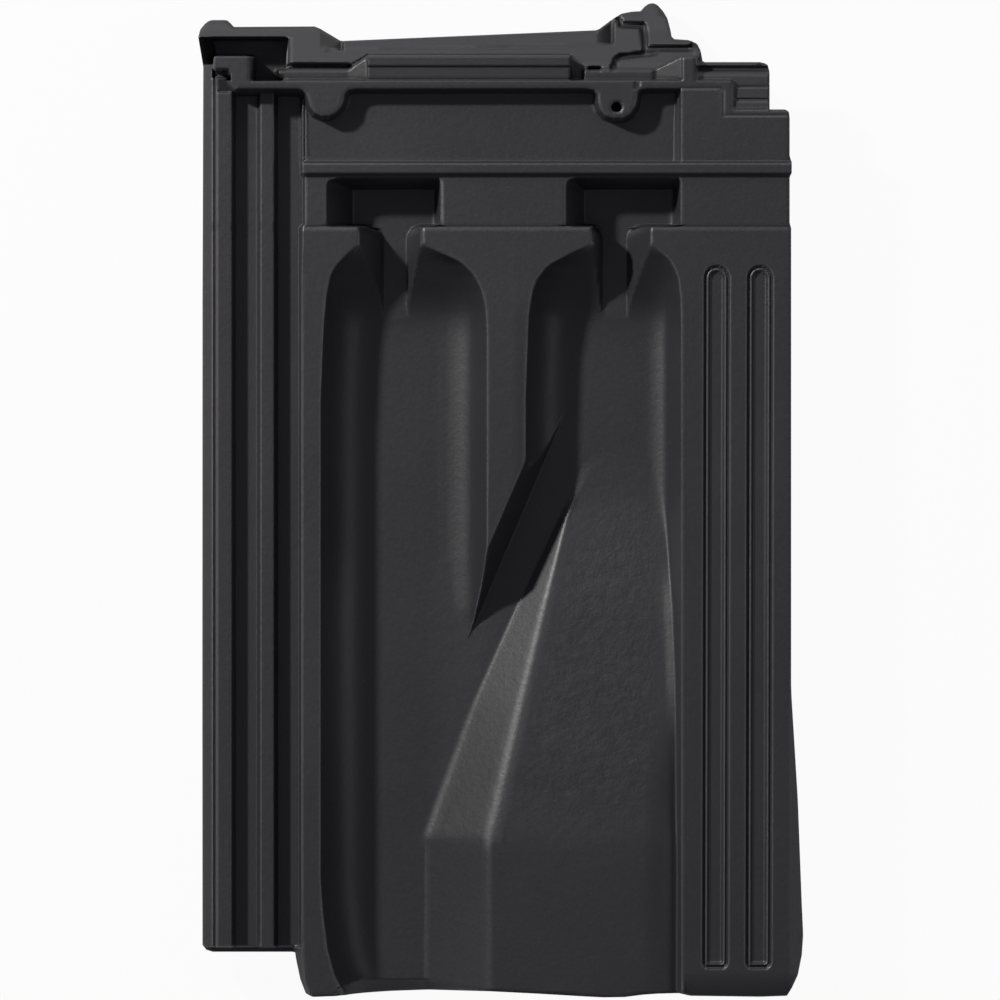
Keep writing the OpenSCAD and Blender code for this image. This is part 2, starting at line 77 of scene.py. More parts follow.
# guide lines of the surface grid from left to right, each as (y, x) places, along the edges of the forms
OUTER_FOOT = [(60, 196.5), (72, 201.5)]
OUTER_SLOPE_TOP = [(0, 213.3)]
LEDGE_LEFT = [(0, 216.4)]
LEDGE_RIGHT = [(0, 232.0)]
GROOVE_LEFT = [(0, 235.2)]
GROOVE_RIGHT = [(0, 257.2)]
LOCK_RIB_LEFT = [(0, 259.4)]
LOCK_RIB_RIGHT = [(0, 274.2)]
SECOND_LEFT = [(0, 277.0)]
SECOND_RIGHT = [(158, 300.6), (164, 299.4), (222, 299.4), (228, 298.8)]
COVER_LEFT = [(90, 306.4), (158, 306.4), (162, 302.6), (173, 302.6), (177, 304.4), (224.5, 304.4), (227, 301.0),
              (944, 301.0), (956, 302.0), (980, 304.5), (998, 311)]
LEFT_RIM_L = [(106, 316), (113, 317.5), (120, 322), (124, 326), (150, 326), (224.8, 326), (226.6, 359.3),
              (242.5, 359.3), (250, 351), (264, 337.5), (275, 331), (294, 327), (325, 324.2), (400, 321),
              (880, 321), (910, 323), (950, 328), (975, 335), (998, 347)]
LEFT_FLOOR_L = [(88, 352), (94, 350), (100, 349), (106.5, 346.5), (113, 341), (118, 335.5), (121, 333),
                (124, 336), (150, 348), (178, 352), (224.8, 352), (228, 384), (310, 384), (340, 378), (950, 380),
                (998, 386)]
LEFT_FLOOR_R = [(82, 368), (94, 400), (150, 400), (178, 422.6), (224.8, 422.6), (228, 407), (312, 407),
                (345, 438), (560, 438), (635, 430), (700, 400), (838, 394), (998, 394)]
LEFT_RIM_R = [(150, 480), (178, 441), (224.8, 441), (226.6, 420.5), (242.5, 420.5), (254, 444), (263, 463),
              (276, 475), (291, 482), (310, 485.6), (330, 486.6), (550, 486.6), (590, 477.5), (635, 466),
              (700, 424), (838, 402), (998, 402)]
RIB_RIGHT = [(82, 571), (89, 588), (94, 592), (103, 592.8), (110.5, 595.8), (116.2, 601.5), (121, 605), (124, 605),
             (150, 570), (178, 566), (224.8, 566), (226.6, 593.8), (242, 593.8), (252.5, 572.5), (265, 549),
             (279, 537.5), (291, 533), (316, 529), (400, 526), (459.6, 526), (552.4, 487.2), (590, 479),
             (635, 468), (700, 436), (838, 408), (998, 408)]
NOTCH_FOOT = [(124, 608), (150, 597), (178, 584), (224.8, 584), (228, 602.5), (309, 602.5), (335, 576),
              (385, 576), (635, 470.2), (700, 446), (838, 414), (998, 414)]
WEDGE_FOOT = [(124, 625), (150, 610), (178, 600), (224.8, 600), (228, 612), (315, 612), (340, 600),
              (440, 592), (478, 574), (518, 557), (602, 517), (700, 474), (838, 424), (998, 423)]
WEDGE_RIDGE = [(90, 645), (93, 643), (100, 642), (107, 640.2), (114.5, 635), (119, 630), (124, 630),
               (150, 624), (178, 630), (224.8, 630), (228, 620), (315, 620), (340, 622), (440, 604), (478, 584),
               (518, 566), (602, 545), (700, 521), (838, 488), (998, 488.5)]
WALL_CREASE = [(0, 677.5), (160, 677.5), (178, 657), (224.8, 657), (228, 627.5), (317, 627.5), (345, 660),
               (430, 661), (480, 662), (560, 664), (640, 667), (720, 669), (800, 673), (998, 674)]
RIGHT_RIM_R = [(150, 681.3), (178, 680.3), (224.8, 680.3), (226.6, 650.6), (242.5, 650.6), (259, 670), (270, 676),
               (280, 679), (300, 680.9), (320, 681.3), (998, 681.5)]
FLUTE_PLACES = [702.6, 705.2, 710.2, 723.2, 728.2, 730.8]
FLUTE_STEP = 43.3
FLUTE_LEAN = -1.6
FLUTE_ROWS = (264.0, 970.0)
COVER_RIGHT = [(0, 789.8), (998, 789.8)]
OUTER_EDGE = [(0, 792.5), (600, 792.5), (700, 793), (900, 802), (940, 804), (960, 804), (998, 800)]
GUIDES = [OUTER_FOOT, OUTER_SLOPE_TOP, LEDGE_LEFT, LEDGE_RIGHT, GROOVE_LEFT, GROOVE_RIGHT, LOCK_RIB_LEFT,
          LOCK_RIB_RIGHT, SECOND_LEFT, SECOND_RIGHT, COVER_LEFT, LEFT_RIM_L, LEFT_FLOOR_L, LEFT_FLOOR_R,
          LEFT_RIM_R, RIB_RIGHT, NOTCH_FOOT, WEDGE_FOOT, WEDGE_RIDGE, WALL_CREASE, RIGHT_RIM_R]
GUIDES += [[(FLUTE_ROWS[0], p + FLUTE_STEP * k), (FLUTE_ROWS[1], p + FLUTE_STEP * k + FLUTE_LEAN)]
           for k in (0, 1) for p in FLUTE_PLACES]
GUIDES += [COVER_RIGHT, OUTER_EDGE]
# grid columns between guide lines, row guides, grid rows between them, and how far both crowd at the guides
COLUMNS = [6, 4, 8, 4, 8, 4, 8, 4, 8, 8, 8, 18, 10, 22, 12, 16, 8, 10, 12, 16, 8,
           4, 6, 4, 6, 4, 6, 4, 6, 4, 6, 4, 8, 6]
ROW_GUIDES = [0, 25, 37, 54.6, 65.8, 79.7, 89, 124, 161.8, 172.5, 180, 188.5, 225.8, 243, 262.5, 280, 320,
              410, 640, 838, 858, 944, 953.5, 973, 998.6]
ROWS = [12, 8, 10, 8, 8, 8, 24, 8, 10, 6, 6, 12, 10, 10, 12, 12, 12, 42, 20, 8, 12, 8, 10, 16]
CROWDING = 0.8


def between(value, places, heights):
    """Straight-line profile through the given places and heights."""
    return np.interp(value, places, heights)


PROFILE_POINTS, PROFILE_REACH = 3001, 3


def flowing(value, places, heights, width):
    """Smooth profile: the straight-line one averaged with a bell of the given width."""
    fine = np.linspace(places[0], places[-1], PROFILE_POINTS)
    bell = width / (fine[1] - fine[0])
    reach = int(PROFILE_REACH * bell)
    weights = np.exp(-0.5 * (np.arange(-reach, reach + 1) / bell) ** 2)
    table = np.convolve(np.pad(np.interp(fine, places, heights), reach, mode="reflect", reflect_type="odd"),
                        weights / weights.sum(), mode="valid")
    return np.interp(value, fine, table)


def along(line, y, width=0.0):
    """Sheet x of a guide line at each y, straight between its places or smoothed over the given width."""
    places = np.asarray(line, float)
    if width > 0.0:
        return flowing(y, places[:, 0], places[:, 1], width)
    return np.interp(y, places[:, 0], places[:, 1])


def ease(value, start, end):
    """Smooth step: 0 before start, 1 after end, with level ends."""
    t = np.clip((value - start) / (end - start), 0.0, 1.0)
    return t * t * (3.0 - 2.0 * t)


def stepped(value, first, steps):
    """First value plus smooth steps, each with its size and the span over which it comes in."""
    for size, start, end in steps:
        first = first + size * ease(value, start, end)
    return first


def soft_max(a, b, width):
    """Higher of two surfaces with a round blend of the given width where they cross."""
    h = np.clip(0.5 + 0.5 * (a - b) / width, 0.0, 1.0)
    return b + (a - b) * h + width * h * (1.0 - h)


def soft_min(a, b, width):
    """Lower of two surfaces with a round blend of the given width where they cross."""
    return -soft_max(-a, -b, width)


def inside(x, y, outline):
    """True where a point lies in the outline, by counting the edges that a ray to the right crosses."""
    hit = np.zeros(np.shape(x), bool)
    ring = np.asarray(outline, float)
    for (ax, ay), (bx, by) in zip(ring, np.roll(ring, -1, 0)):
        if ay != by:
            hit ^= ((ay > y) != (by > y)) & (x < (bx - ax) * (y - ay) / (by - ay) + ax)
    return hit


FAR, TINY = 9999.0, 1e-9


def within(x, y, box):
    """True inside a box of the sheet, given as left, right, head and tail; FAR leaves a side open."""
    left, right, head, tail = box
    return (x > left) & (x < right) & (y > head) & (y < tail)


def nearest_on(x, y, outlines, closed=True):
    """Distance to the outlines and the nearest point on them, edge by edge."""
    best = np.full(np.shape(x), np.inf)
    px, py = np.array(x, float), np.array(y, float)
    for outline in outlines:
        ring = np.asarray(outline, float)
        ends = np.roll(ring, -1, 0) if closed else ring[1:]
        for (ax, ay), (bx, by) in zip(ring, ends):
            ex, ey = bx - ax, by - ay
            t = np.clip(((x - ax) * ex + (y - ay) * ey) / max(ex * ex + ey * ey, TINY), 0.0, 1.0)
            qx, qy = ax + t * ex, ay + t * ey
            d = np.hypot(x - qx, y - qy)
            near = d < best
            best = np.where(near, d, best)
            px, py = np.where(near, qx, px), np.where(near, qy, py)
    return best, px, py


# trough walls: places inward from the rim and heights, for the walls that face the light
LEFT_WALL_PLACES = [-6, 0, 2, 5, 9, 13.6, 16.6, 20.6, 25, 31.6, 38.6, 50, 80]
LEFT_WALL_HEIGHTS = [16, 0, -5, -10.5, -15, -18.6, -20.2, -21.4, -22.4, -23.3, -23.9, LEFT_TROUGH, LEFT_TROUGH]
RIGHT_WALL_PLACES = [-6, 0, 6, 12.4, 14.2, 15.8, 19, 22.5, 25.5, 30.5, 36.5, 60]
RIGHT_WALL_HEIGHTS = [16, 0, -9.5, -17.1, -18.2, -19.0, -19.9, -20.5, -20.9, -21.3, RIGHT_TROUGH, RIGHT_TROUGH]
# head end of the troughs: shares of its length and of the depth
SPOON_SHARES = [-0.2, 0, 0.25, 0.5, 0.75, 0.9, 1.0, 1.2, 1.45, 1.8]
SPOON_DEPTHS = [-0.23, 0, 0.285, 0.56, 0.81, 0.925, 0.968, 0.992, 1.0, 1.0]
SPOON_START, SPOON_LENGTH = 243.0, 72.0
# how far rims and head ends are smoothed, and the curve of the walls that face away from the light
RIM_SMOOTH, SPOON_SMOOTH = 2.5, 0.10
SHADED_FALL, SHADED_TURN = 2.6, 2.0 / 3.0


def shaded_wall(inward):
    """Depth share along a wall that faces away from the light: steep at the rim, level at the floor."""
    s = np.clip(inward, 0.0, 1.0)
    return (1.0 - (1.0 - s) ** SHADED_FALL) ** SHADED_TURN


def lit_wall(inward, places, heights, width):
    """Depth share along a wall that faces the light, from its smoothed section."""
    return np.clip(flowing(inward, places, heights, width) / heights[-1], 0.0, 1.0)


def spoon_end(y):
    """Depth share of a trough's head end: a ramp that runs out smoothly into the floor."""
    along_ramp = (y - SPOON_START) / SPOON_LENGTH
    return np.clip(flowing(along_ramp, SPOON_SHARES, SPOON_DEPTHS, SPOON_SMOOTH), 0.0, 1.0)


def trough(x, y, deep, rims, shaded_width, places, heights, smooth):
    """Trough: full depth times the depth shares of its two walls and of its head end."""
    from_left = (x - along(rims[0], y, RIM_SMOOTH)) / shaded_width
    from_right = along(rims[1], y, RIM_SMOOTH) - x
    return deep * (shaded_wall(from_left) * spoon_end(y) * lit_wall(from_right, places, heights, smooth))


# trough rims: the guide lines from the head of the field, run on where these turn off into the notch
RIM_HEAD, LEFT_RIM_SHARED, RIB_RIM_SHARED = 226, 330, 400
LEFT_TROUGH_L = [p for p in LEFT_RIM_L if p[0] > RIM_HEAD]
LEFT_TROUGH_R = [p for p in LEFT_RIM_R if RIM_HEAD < p[0] <= LEFT_RIM_SHARED]
LEFT_TROUGH_R += [(560, 486.6), (610, 488), (640, 496), (660, 516), (690, 540)]
RIGHT_TROUGH_L = [p for p in RIB_RIGHT if RIM_HEAD < p[0] <= RIB_RIM_SHARED] + [(700, 526)]
RIGHT_TROUGH_R = [p for p in RIGHT_RIM_R if p[0] > RIM_HEAD]
LEFT_FORM = dict(deep=LEFT_TROUGH, rims=(LEFT_TROUGH_L, LEFT_TROUGH_R), shaded_width=57.0,
                 places=LEFT_WALL_PLACES, heights=LEFT_WALL_HEIGHTS, smooth=1.6)
RIGHT_FORM = dict(deep=RIGHT_TROUGH, rims=(RIGHT_TROUGH_L, RIGHT_TROUGH_R), shaded_width=48.0,
                  places=RIGHT_WALL_PLACES, heights=RIGHT_WALL_HEIGHTS, smooth=1.2)
# notch: foot line and width of its wall, and where the floor falls to the left trough
NOTCH_START = (561.6, 419.0)
NOTCH_END = (470.0, 635.0)
NOTCH_WALL_WIDTH = 17.0
FLOOR_FALL = (425, 515)
# wedge: rows and heights along its top, smoothed
WEDGE_ROWS = [330, 456, 500, 550, 602, 700, 770, 842, 860, 1000]
WEDGE_HEIGHTS = [RIGHT_TROUGH, RIGHT_TROUGH, -20.3, -16.6, -12.8, -7.8, -4.4, -1.5, -1.5, -2.2]
WEDGE_SMOOTH, WEDGE_EDGE_SMOOTH = 9.0, 4.0
WEDGE_FOOT_SHIFT, WEDGE_LEAST_WIDTH = 2.0, 4.0
# its top swells up to the right wall on the way and dips beside it at the tail
SWELL, SWELL_WIDTH, SWELL_ROWS, SWELL_END_ROWS = 1.1, 14, (550, 620), (670, 755)
SWELL_START, SWELL_START_ROW, SWELL_SLANT = 660.5, 600, 0.05
WIDE_DIP, WIDE_DIP_SPAN = 2.0, (651, 677)
NARROW_DIP, NARROW_DIP_SPAN = 1.2, (666, 677)
DIP_ROWS = (705, 830)
# width of the round ridge: first value, then steps as size, first row and last row
RIDGE_ROUND = (0.3, [(1.4, 500, 640), (1.4, 640, 800), (-1.7, 836, 852)])


def floor_level(x):
    """Level of the right trough's floor, falling softly to the left trough's floor below the notch."""
    return LEFT_TROUGH + (RIGHT_TROUGH - LEFT_TROUGH) * ease(x, *FLOOR_FALL)


def notch_wall(x, y):
    """Plane that ends the middle rib: floor level at its foot line, rising up and to the left."""
    run_x, run_y = NOTCH_END[0] - NOTCH_START[0], NOTCH_END[1] - NOTCH_START[1]
    length = math.hypot(run_x, run_y)
    away = ((y - NOTCH_START[1]) * run_x - (x - NOTCH_START[0]) * run_y) / length
    return floor_level(x) + np.maximum(away, 0.0) * (-RIGHT_TROUGH / NOTCH_WALL_WIDTH)


def raised_wedge(x, y):
    """Wedge: ramp that rises towards the tail, cut by a slanted face between its foot line and its ridge."""
    foot = along(WEDGE_FOOT, y, WEDGE_EDGE_SMOOTH) + WEDGE_FOOT_SHIFT
    ridge = along(WEDGE_RIDGE, y, WEDGE_EDGE_SMOOTH)
    start = SWELL_START + (y - SWELL_START_ROW) * SWELL_SLANT
    swell = SWELL * ease(x, start, start + SWELL_WIDTH) * ease(y, *SWELL_ROWS) * (1.0 - ease(y, *SWELL_END_ROWS))
    dip = (WIDE_DIP * ease(x, *WIDE_DIP_SPAN) + NARROW_DIP * ease(x, *NARROW_DIP_SPAN)) * ease(y, *DIP_ROWS)
    top = flowing(y, WEDGE_ROWS, WEDGE_HEIGHTS, WEDGE_SMOOTH) + swell - dip
    base = floor_level(foot)
    side = base + (x - foot) / np.maximum(ridge - foot, WEDGE_LEAST_WIDTH) * (top - base)
    return soft_min(top, side, stepped(y, *RIDGE_ROUND))


# drain pockets and gutters: rim and floor edges from left to right, and levels of the pocket and along the gutter
LEFT_DRAIN = dict(rim=(326.0, 439.8), floor=(352.0, 423.0), gutter_rim=(359.3, 420.5), gutter_floor=(383.5, 407.0),
                  levels=(-21.0, -23.3, -24.1))
RIGHT_DRAIN = dict(rim=(566.0, 680.0), floor=(584.0, 657.0), gutter_rim=(593.8, 650.6),
                   gutter_floor=(602.5, 627.5), levels=(-20.0, -20.6, -21.3))
POCKET_BACK, POCKET_FOOT, FIELD_HEAD, NECK_END = 178.0, 188.5, 225.8, 243.0
POCKET_OVERRUN, POCKET_STEEP, POCKET_ROUND = 1.3, 10.0, 4
GUTTER_ROWS = [250, 314, 346]
GUTTER_START, GUTTER_END, GUTTER_LEAST_WALL = FIELD_HEAD - 3, 350, 1.5
NECK_FLARE_L, NECK_FLARE_R, NECK_FLARE_POWER = 16.0, 10.0, 4
ABOVE_ALL, BELOW_ALL = 99.0, -99.0


def drain(x, y, rim, floor, gutter_rim, gutter_floor, levels):
    """Pocket with drafted walls and the straight gutter that lets its floor out into the trough."""
    deep = SMALL_PANEL - levels[0]
    rises = [deep * np.clip((floor[0] - x) / (floor[0] - rim[0]), 0, POCKET_OVERRUN),
             deep * np.clip((x - floor[1]) / (rim[1] - floor[1]), 0, POCKET_OVERRUN) ** POCKET_STEEP,
             deep * np.clip((POCKET_FOOT - y) / (POCKET_FOOT - POCKET_BACK), 0, POCKET_OVERRUN)]
    pocket = np.minimum(levels[0] + sum(r ** POCKET_ROUND for r in rises) ** (1.0 / POCKET_ROUND), SMALL_PANEL)
    pocket = np.where(within(x, y, (*rim, POCKET_BACK, FIELD_HEAD)), pocket, ABOVE_ALL)
    corner = np.clip((NECK_END - y) / (NECK_END - FIELD_HEAD), 0.0, 1.0) ** NECK_FLARE_POWER
    foot_l, foot_r = gutter_floor[0] - NECK_FLARE_L * corner, gutter_floor[1] + NECK_FLARE_R * corner
    low = between(y, GUTTER_ROWS, levels)
    width_l = np.maximum(foot_l - gutter_rim[0], GUTTER_LEAST_WALL)
    width_r = np.maximum(gutter_rim[1] - foot_r, GUTTER_LEAST_WALL)
    low_l = low * np.clip((x - gutter_rim[0]) / width_l, 0.0, 1.0)
    low_r = low * np.clip((gutter_rim[1] - x) / width_r, 0.0, 1.0)
    gutter = np.where(within(x, y, (*gutter_rim, GUTTER_START, GUTTER_END)), np.maximum(low_l, low_r), ABOVE_ALL)
    return pocket, gutter


# flutes of the cover flange: round of their tail end, and section over the distance from their outline
FLUTE_TAIL_ROUND = 8.0
FLUTE_SECTION = [1.0, 2.6, 3.2, 4.4, 5.6, 7.8]
FLUTE_RIM = FLUTE_BEAD - 1.2
FLUTE_HEIGHTS = [0, FLUTE_RIM, FLUTE_RIM, FLUTE_BEAD, FLUTE_BEAD, FLUTE_FLOOR]


def flute(x, y, shift):
    """Long pressed flute: a section over the distance from its outline, with one round and one squarer end."""
    half = 0.5 * (FLUTE_PLACES[-1] - FLUTE_PLACES[0])
    lean = FLUTE_LEAN * np.clip((y - FLUTE_ROWS[0]) / (FLUTE_ROWS[1] - FLUTE_ROWS[0]), 0.0, 1.0)
    u = np.abs(x - lean - shift - FLUTE_PLACES[0] - half)
    low, high = half - FLUTE_TAIL_ROUND, FLUTE_ROWS[1] - FLUTE_TAIL_ROUND
    head = half - np.hypot(u, np.clip(FLUTE_ROWS[0] + half - y, 0.0, None))
    over_x, over_y = np.clip(u - low, 0.0, None), np.clip(y - high, 0.0, None)
    tail = np.where((over_x > 0) & (over_y > 0), FLUTE_TAIL_ROUND - np.hypot(over_x, over_y),
                    np.minimum(half - u, FLUTE_ROWS[1] - y))
    return between(np.minimum(head, tail), FLUTE_SECTION, FLUTE_HEIGHTS)


# sections of the underlap flange, the weather rib and both sides of the head panel
FLANGE_PLACES = [190, 201, 213.2, 214.3, 215.2, 216.2, 231.6, 235.0, 257.2, 259.6, 274.0, 276.8, 310]
FLANGE_HEIGHTS = [-23, -18.2, -13.8, -16.6, -11.8, FLANGE_TOP, FLANGE_TOP, FLANGE_GROOVE, FLANGE_GROOVE,
                  FLANGE_TOP, FLANGE_TOP, FLANGE_GROOVE, FLANGE_GROOVE]
RIB_ROWS = [161.4, 162.6, 163.6, 172.0, 174.4, 176.2, 177.6]
RIB_HEIGHTS = [-11, 2.2, WEATHER_RIB, WEATHER_RIB, 1.6, -0.8, -4]
PANEL_LEFT = [300, 300.9, 302.0, 303.2, 303.9, 304.6, 305.6, 307]
PANEL_LEFT_HEIGHTS = [FLANGE_GROOVE, FLANGE_GROOVE, -9.2, -9.2, -11.0, -11.0, -9.6, HEAD_PANEL]
PANEL_RIGHT = [676.4, 677.2, 678.8, 679.5, 680.6]
PANEL_RIGHT_HEIGHTS = [HEAD_PANEL, -6.4, -6.0, -6.2, SMALL_PANEL]
# fine line between the small panels and the field: depth, rows from the field's head, and how low it still cuts
FIELD_LINE_DEPTH = 0.6
FIELD_LINE_ROWS, FIELD_LINE_SHARES, FIELD_LINE_REACH = [-0.4, 0.6, 4.0], [0.0, 1.0, 0.0], 0.5
# where the forms of the face begin and end
FLANGE_GAP, RIB_GAP = 0.6, 1
RIB_MIDDLE, SOFT_RIM_END, TROUGHS_RIGHT = 505, 600, 684
PANEL_TAIL, PANEL_LEFT_BOX, RIB_SPAN = 166, (300, 307, 92, 162), (161, 178.4)
NOTCH_BOX, RUN_OUT_BOX = (390, 640, 370, FAR), (390, 640, 560, FAR)
WEDGE_HEAD, WEDGE_REACH = 450, 12
# widths of the round blends between them, with the spans and rows over which they come in
SHARP, SHARP_RIM = 0.02, 0.01
SOFT_RIM, SOFT_RIM_SPAN, SOFT_RIM_ROWS = 1.6, (514, 526), (290, 340)
NOTCH_ROUND = (SHARP, [(2.0, 610, 660)])
WEDGE_FILLET = (SHARP, [(0.7, 520, 640), (1.5, 640, 830), (-1.5, 836, 852)])
WALL_FILLET, WALL_FILLET_SPAN, WALL_FILLET_ROWS = 1.6, (630, 662), (450, 520)
GUTTER_BLEND, GUTTER_BLEND_ROWS, GUTTER_BLEND_END = 1.4, (NECK_END, NECK_END + 8), (280, 304)
# tail: slope of the flared skirt, bend of the cover flange, corner of the body, run-out lip of the left trough
SKIRT_LEFT, SKIRT_HEAD, SKIRT_SLOPE = 789.8, 660, 0.30
TAIL_BEND_ROW, TAIL_BEND_LENGTH, TAIL_DROP = 972, 24.0, 2.6
TAIL_CORNER_ROW, TAIL_CORNER_SLOPE, TAIL_CORNER_FOOT = 948, 2.6, -21.0
LIP_X = [340, 352, 365, 427, 450, 490]
LIP_Y = [987, 983, 980.5, 980.5, 985, 991]
LIP_BOX, LIP_SLOPE = (338, 490, 970, FAR), 0.75


def face_height(x, y):
    """Height of the weather face over the whole sheet, feature by feature, with sharp edges."""
    side = along(COVER_LEFT, y)
    z = np.where(x < side - FLANGE_GAP, between(x, FLANGE_PLACES, FLANGE_HEIGHTS), 0.0)
    field = (x >= side) & (y >= FIELD_HEAD)
    right = trough(x, y, **RIGHT_FORM)
    soft = SHARP_RIM + SOFT_RIM * ease(x, *SOFT_RIM_SPAN) * ease(y, *SOFT_RIM_ROWS)
    z = np.where(field & (x < RIB_MIDDLE), np.minimum(z, trough(x, y, **LEFT_FORM)), z)
    z = np.where(field & (x > RIB_MIDDLE) & (x < SOFT_RIM_END), soft_min(z, right, soft), z)
    z = np.where(field & (x >= SOFT_RIM_END) & (x < TROUGHS_RIGHT), np.minimum(z, right), z)
    z = np.where(within(x, y, NOTCH_BOX), soft_min(z, notch_wall(x, y), stepped(y, *NOTCH_ROUND)), z)
    z = np.where(within(x, y, RUN_OUT_BOX), np.maximum(z, floor_level(x)), z)
    wedge = (y > WEDGE_HEAD) & (x > along(WEDGE_FOOT, y) - WEDGE_REACH) & (x < TROUGHS_RIGHT)
    fillet = stepped(y, *WEDGE_FILLET) + WALL_FILLET * ease(x, *WALL_FILLET_SPAN) * ease(y, *WALL_FILLET_ROWS)
    z = np.where(wedge, np.minimum(soft_max(z, raised_wedge(x, y), fillet), 0.0), z)
    # head: small panels, pockets with gutters, recessed panel and weather rib
    z = np.where((x >= side) & (y < FIELD_HEAD), SMALL_PANEL, z)
    blend = SHARP + GUTTER_BLEND * ease(y, *GUTTER_BLEND_ROWS) * (1.0 - ease(y, *GUTTER_BLEND_END))
    for form in (LEFT_DRAIN, RIGHT_DRAIN):
        pocket, gutter = drain(x, y, **form)
        z = soft_min(np.minimum(z, pocket), gutter, blend)
    line = between(y - FIELD_HEAD, FIELD_LINE_ROWS, FIELD_LINE_SHARES)
    z = np.where((x >= side) & (z > SMALL_PANEL - FIELD_LINE_REACH), z - FIELD_LINE_DEPTH * line, z)
    z = np.where((x >= side) & (y < PANEL_TAIL), between(x, PANEL_RIGHT, PANEL_RIGHT_HEIGHTS), z)
    z = np.where(within(x, y, PANEL_LEFT_BOX), between(x, PANEL_LEFT, PANEL_LEFT_HEIGHTS), z)
    rib = within(x, y, (side - RIB_GAP, FAR, *RIB_SPAN))
    z = np.where(rib, np.maximum(z, between(y, RIB_ROWS, RIB_HEIGHTS)), z)
    # flutes, skirt and bent tail of the cover flange, tail corner of the body and run-out of the left trough
    z = z + flute(x, y, 0.0) + flute(x, y, FLUTE_STEP)
    skirt = (x > SKIRT_LEFT) & (y > SKIRT_HEAD)
    z = np.where(skirt, np.minimum(z, -(x - SKIRT_LEFT) * SKIRT_SLOPE), z)
    bent = (x > TROUGHS_RIGHT) & (y > TAIL_BEND_ROW)
    z = np.where(bent, z - TAIL_DROP * ((y - TAIL_BEND_ROW) / TAIL_BEND_LENGTH) ** 2, z)
    corner = (x < side) & (y > TAIL_CORNER_ROW)
    z = np.where(corner, np.maximum(-(side - x) * TAIL_CORNER_SLOPE, TAIL_CORNER_FOOT), z)
    lip = np.clip(y - between(x, LIP_X, LIP_Y), 0, None)
    z = np.where(within(x, y, LIP_BOX), z - lip * LIP_SLOPE, z)
    return head_height(x, y, z)


# face outline of the head rim: hook, rim, two lugs and the stepped right corner
RIM_OUTLINE = [
    (213, 68), (213, 57), (215, 55), (250, 55), (252, 57), (252, 80.4), (682, 80.4), (682, 56.5), (696.5, 56.5),
    (697, 80.4), (731, 80.8), (733, 82.8), (733, 107), (735, 108.8), (795, 109), (795, 115.8), (724.5, 115.8),
    (722.5, 113.8), (722.5, 91), (720.5, 88.9), (648, 88.9), (641, 89.8), (638.2, 93), (637.2, 100), (635.5, 107),
    (630.5, 114.5), (623, 118.5), (614, 118.8), (606, 116.2), (600.5, 110.5), (597.8, 103), (597.2, 94),
    (594, 90.2), (586, 88.9), (356, 89.2), (349, 90.2), (345.5, 94), (344.3, 100), (342, 106.5), (336.5, 113),
    (329, 116.5), (322, 116.5), (314.5, 113), (309.8, 106.5), (307.2, 98), (305.5, 93), (302, 90.2), (297, 89.2),
    (236, 88.8), (232, 85), (229.5, 78), (229, 71), (227, 70), (215, 70)]
RIM_ROUND = 3.6
RIM_DRAFT = 2.5
# grooves of the head end: places along each, width and depth
HEAD_GROOVES = [
    ([(620, 19), (622, 23.5), (643.5, 24.2), (645.5, 47.8), (691, 47.6)], 5.4, 3.4),
    ([(700, 68.8), (768, 68.8)], 5.5, 2.8),
    ([(613, 68), (617, 58.2), (621, 55.8), (655, 52.4)], 5.4, 3.2),
    ([(736, 86.6), (769, 86.3)], 1.6, 0.7),
    ([(736, 99.5), (769, 99.5)], 2.4, 1.0),
    ([(290, 65.8), (349, 66)], 5.0, 5.0),
    ([(349, 66), (366, 56)], 2.0, 1.2),
    ([(326, 50.5), (566, 44.5)], 1.2, 0.7),
    ([(367.5, 54.6), (570, 54.6)], 1.6, 2.0),
    ([(252, 79.4), (682, 79.4)], 1.2, 0.9),
    ([(590.5, 68.5), (599.5, 68.5)], 3.6, 6.0)]
RIM_NICKS = [([(635.8, 82.5), (635.2, 89)], 1.6, 0.8), ([(639.8, 82.5), (639, 87)], 1.2, 0.6)]
RECESS = -37.5
RECESS_EDGE = -19.0
SLOPE_ROWS = [0, 30, 62, 80, 112]
SLOPE_HEIGHTS = [-29.5, -21.5, -11, -7, -4]
CORNER_ROWS = [60, 66, 76, 108]
CORNER_HEIGHTS = [-8.5, -6.0, -3.6, -2.2]
# head end: rows where it and its parts end, stepped right corner, recess behind the hook and end of the flange
HEAD_TAIL, SLOPE_TAIL, BARS_TAIL = 135.0, 80.5, 81
CORNER_LEFT, CORNER_TAIL, CORNER_STEP_X, CORNER_STEP_Y = 697, 109, 728, 84
RECESS_BOX, RECESS_SLOPE = (-FAR, 287.5, 37, SLOPE_TAIL), 1.3
HOOK_EDGE_ROWS, HOOK_EDGE = [36, 66], [197.5, 202.6]
FLANGE_END_BOXES = [(-FAR, 213, 63, FAR), (-FAR, 217, 76.5, 92)]
# strip between the nib blocks and the shaded end faces of the blocks
STRIP_SPAN, STRIP_X, STRIP_TAIL, STRIP_DROP = (341, 598), [325, 566], [50.5, 44.5], 1.2
LEFT_FACE, LEFT_FACE_TAIL, LEFT_FACE_DROP = (320, 342), [46, 50], 9.0
RIGHT_FACE, RIGHT_FACE_TAIL, RIGHT_FACE_DROP = (598, 613), 43, 7.0
